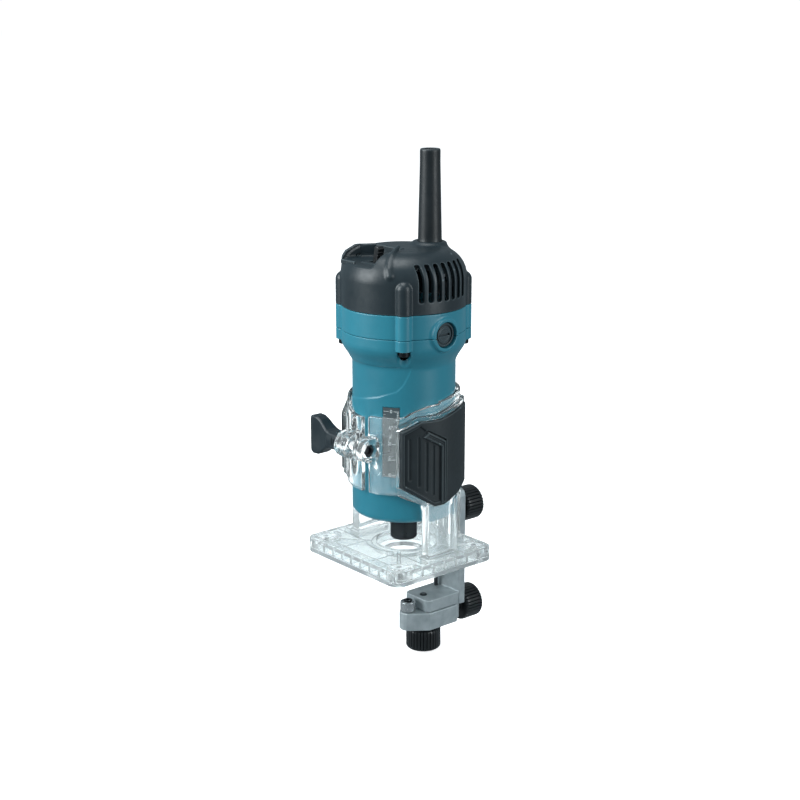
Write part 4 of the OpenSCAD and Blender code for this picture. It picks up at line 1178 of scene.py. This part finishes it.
def case_screw(x, y, z):
    r = np.hypot(x, y)
    d = edge(r - F(3.4), slab(z, 138.85, 142), 0.5)
    a = np.arctan2(y, x) / F(2 * math.pi)
    th = np.abs(((z / F(1.4) - a) % 1.0) - F(0.5)) * 2
    d = smin(d, np.maximum(r - F(1.15) - F(0.42) * th, slab(z, 141, 176)) * F(0.8), 0.3)
    cross = np.minimum(edge(np.abs(x) - F(2.0), np.abs(y) - F(0.45), 0.2), edge(np.abs(y) - F(2.0), np.abs(x) - F(0.45), 0.2))
    return smax(d, -np.maximum(cross, z - F(140.2)), 0.15)


one = solid("case_screw_one", case_screw, (-3.6, -3.6, 138.6), (3.6, 3.6, 176.3), (0.22, 0.22, 0.25))
parts = []
for cx, cy in RIB_XY:
    o = one.copy()
    o.data = one.data.copy()
    bpy.context.scene.collection.objects.link(o)
    o.data.transform(Matrix.Translation((cx * 0.001, cy * 0.001, 0)))
    parts.append(o)
bpy.data.objects.remove(one)
# painted shade: these steel screws take the dark black_steel finish so their heads read as the shade in the recesses at
# the ribs' lower ends
keep(join("screws_case", parts), "motor", "steel", BLACKSTEEL, "housing_screws")

# ------------------------------------------------------------------ scale plate with its ticks and numbers


def on_barrel(u, z, r):
    """Points from a flat drawing, u across and z up, wrapped on the barrel at the scale's place."""
    a = SCALE_AZ + np.asarray(u) / 32.47
    return np.stack([r * np.sin(a), -r * np.cos(a), np.asarray(z)], -1)


def plate_mesh(name, u0, u1, z0, z1, r0, r1, nu=24, nz=40, corner=0.5):
    us = np.linspace(u0, u1, nu + 1)
    zs = np.linspace(z0, z1, nz + 1)
    U, Z = np.meshgrid(us, zs, indexing="ij")
    outer = on_barrel(U.ravel(), Z.ravel(), r1)
    inner = on_barrel(U.ravel(), Z.ravel(), r0)
    n = (nu + 1) * (nz + 1)
    p = np.concatenate([outer, inner])
    ids = np.arange(n).reshape(nu + 1, nz + 1)
    faces = []
    a, b, c_, d = ids[:-1, :-1].ravel(), ids[1:, :-1].ravel(), ids[1:, 1:].ravel(), ids[:-1, 1:].ravel()
    faces.append(np.stack([a, b, c_, d], 1))
    faces.append(np.stack([d, c_, b, a], 1) + n)
    loop = list(ids[:, 0]) + list(ids[-1, 1:]) + list(ids[-2::-1, -1]) + list(ids[0, -2:0:-1])
    loop = np.array(loop)
    nxt = np.roll(loop, -1)
    faces.append(np.stack([nxt, loop, loop + n, nxt + n], 1))
    return add_mesh(name, p, np.concatenate(faces))


sp = plate_mesh("scale_strip", -5.25, 5.25, 61.55, 105.45, 32.0, 32.44)
fix(sp, 30)
keep(sp, "motor", "scale_print", SCALE, "scale_plate")

marks = []


def bar(u0, u1, z0, z1):
    n = max(1, int(math.ceil(abs(u1 - u0) / 0.8)))
    marks.append(plate_mesh("mark", u0, u1, z0, z1, 32.42, 32.52, n, 1))


bar(-4.6, 4.6, 61.95, 62.13)
bar(-4.9, -1.5, 103.0, 103.22)
bar(1.5, 4.9, 103.0, 103.22)
for i in range(0, 41):
    z = 63.0 + i
    long = 2.6 if i % 10 == 0 else 2.0 if i % 5 == 0 else 1.4
    bar(5.0 - long, 5.0, z - 0.17, z + 0.17)
for i in range(0, 7):
    z = 63.0 + i * 6.35
    bar(-5.0, -3.6 if i % 2 == 0 else -4.1, z - 0.1, z + 0.1)


def number(text, u, z, size):
    cu = bpy.data.curves.new("digits", "FONT")
    cu.body = text
    cu.size = size * 0.001
    cu.align_x = "CENTER"
    cu.align_y = "CENTER"
    cu.extrude = 0.00004
    cu.offset = 0.00003
    cu.resolution_u = 3
    o = bpy.data.objects.new("digits", cu)
    bpy.context.scene.collection.objects.link(o)
    bpy.context.view_layer.update()
    me = bpy.data.meshes.new_from_object(o.evaluated_get(bpy.context.evaluated_depsgraph_get()))
    bpy.data.objects.remove(o)
    bpy.data.curves.remove(cu)
    b = bmesh.new()
    b.from_mesh(me)
    bmesh.ops.remove_doubles(b, verts=b.verts, dist=1e-6)
    for v in b.verts:
        q = on_barrel(u + v.co.x * 1000, z + v.co.y * 1000, 32.47 + v.co.z * 1000 * 1.2)
        v.co = Vector([float(t) * 0.001 for t in q])
    b.to_mesh(me)
    b.free()
    o = bpy.data.objects.new("digits", me)
    bpy.context.scene.collection.objects.link(o)
    marks.append(o)


for k, t in enumerate(("40", "30", "20", "10", "0")):
    number(t, 0.2 if t != "0" else 0.0, 63.0 + 10 * k if t != "0" else 103.1, 3.0)
ob = join("scale_marks", marks)
keep(ob, "motor", "scale_print", PRINT)

# ------------------------------------------------------------------ CAD parts that stay, with their finishes

FINISH = {
    "brush_holders": BRASS, "carbon_brushes": CARBON, "brush_springs": STEEL, "field_core": STEEL, "field_winding": COPPER,
    "lower_bearing": STEEL, "upper_bearing": STEEL, "bearing_sleeve": BLACK, "fan_baffle": DARK, "switch_body": BLACK,
    "cord_clamp": DARK, "cord_clamp_screws": STEEL, "lead_wires": SHEATH, "spindle_shaft": STEEL, "armature_core": STEEL,
    "armature_winding": COPPER, "commutator": COPPER, "cooling_fan": DARK, "collet_cone": STEEL,
}
for n, o in frame["nodes"].items():
    if n in FINISH:
        o.data.materials.clear()
        o.data.materials.append(FINISH[n])
for o in bpy.data.objects:
    if o.type == "MESH" and not o.data.materials:
        o.data.materials.append(STEEL)

# ------------------------------------------------------------------ floor, light and camera

scene = bpy.context.scene
floor_z = -0.0712


def stage_material():
    m = bpy.data.materials.new("studio_paper")
    m.use_nodes = True
    nt = m.node_tree
    b = nt.nodes["Principled BSDF"]
    n = nt.nodes.new("ShaderNodeTexNoise")
    n.inputs["Scale"].default_value = 8
    r = nt.nodes.new("ShaderNodeValToRGB")
    r.color_ramp.elements[0].color = (0.90, 0.90, 0.90, 1)
    r.color_ramp.elements[1].color = (0.93, 0.93, 0.93, 1)
    nt.links.new(n.outputs["Fac"], r.inputs["Fac"])
    nt.links.new(r.outputs["Color"], b.inputs["Base Color"])
    b.inputs["Roughness"].default_value = 0.9
    b.inputs["Specular IOR Level"].default_value = 0.1
    b.inputs["Emission Color"].default_value = (1, 1, 1, 1)
    b.inputs["Emission Strength"].default_value = 0.8
    return m


bm = bmesh.new()
bmesh.ops.create_circle(bm, cap_ends=True, segments=96, radius=14)
me = bpy.data.meshes.new("studio_floor")
bm.to_mesh(me)
bm.free()
floor = bpy.data.objects.new("studio_floor", me)
floor.location = (0, 0, floor_z)
me.materials.append(stage_material())
scene.collection.objects.link(floor)
floor.visible_diffuse = False
floor.visible_glossy = False

world = bpy.data.worlds.new("studio")
scene.world = world
world.use_nodes = True
bg = world.node_tree.nodes["Background"]
bg.inputs["Color"].default_value = (0.78, 0.92, 1.0, 1)
bg.inputs["Strength"].default_value = 0.30

# a white dome behind everything: it is seen directly and through the clear plastic, and gives no light of its own
bm = bmesh.new()
bmesh.ops.create_uvsphere(bm, u_segments=96, v_segments=48, radius=13)
me = bpy.data.meshes.new("studio_dome")
bm.to_mesh(me)
bm.free()
m = bpy.data.materials.new("studio_white")
m.use_nodes = True
nt = m.node_tree
nt.nodes.clear()
em = nt.nodes.new("ShaderNodeEmission")
em.inputs["Color"].default_value = (1, 1, 1, 1)
em.inputs["Strength"].default_value = 1.02
ou = nt.nodes.new("ShaderNodeOutputMaterial")
nt.links.new(em.outputs["Emission"], ou.inputs["Surface"])
me.materials.append(m)
dome_ob = bpy.data.objects.new("studio_dome", me)
scene.collection.objects.link(dome_ob)
dome_ob.visible_diffuse = False
dome_ob.visible_glossy = False
dome_ob.visible_shadow = False


def area(name, place, at, size, power, colour=(1, 1, 1), size_y=None):
    l = bpy.data.lights.new(name, "AREA")
    l.energy = power
    l.color = colour
    l.shape = "RECTANGLE"
    l.size = size
    l.size_y = size_y or size
    o = bpy.data.objects.new(name, l)
    o.location = place
    o.rotation_euler = (Vector(at) - Vector(place)).to_track_quat("-Z", "Y").to_euler()
    scene.collection.objects.link(o)
    return o


area("key", (-0.62, -1.42, 0.75), (0, 0, 0.08), 0.95, 34, (0.93, 0.985, 1.0), size_y=1.3)
area("fill", (1.5, 0.45, 0.5), (0, 0, 0.08), 0.6, 14, (0.93, 0.985, 1.0), size_y=1.3)
area("top", (-0.15, -0.2, 1.6), (0, 0, 0.1), 0.9, 13, (0.95, 0.99, 1.0))

cam = bpy.data.cameras.new("camera")
cam.sensor_width = 36
cam.lens = 1567.7 / 800 * 36
cam.shift_x = -0.0046
cam.clip_start = 0.05
cam.clip_end = 50
co = bpy.data.objects.new("camera", cam)
co.location = (0.72735, -0.61376, 0.3567)
co.rotation_euler = (math.radians(75.02), 0, math.radians(49.84))
scene.collection.objects.link(co)
scene.camera = co
scene.view_settings.view_transform = "Standard"
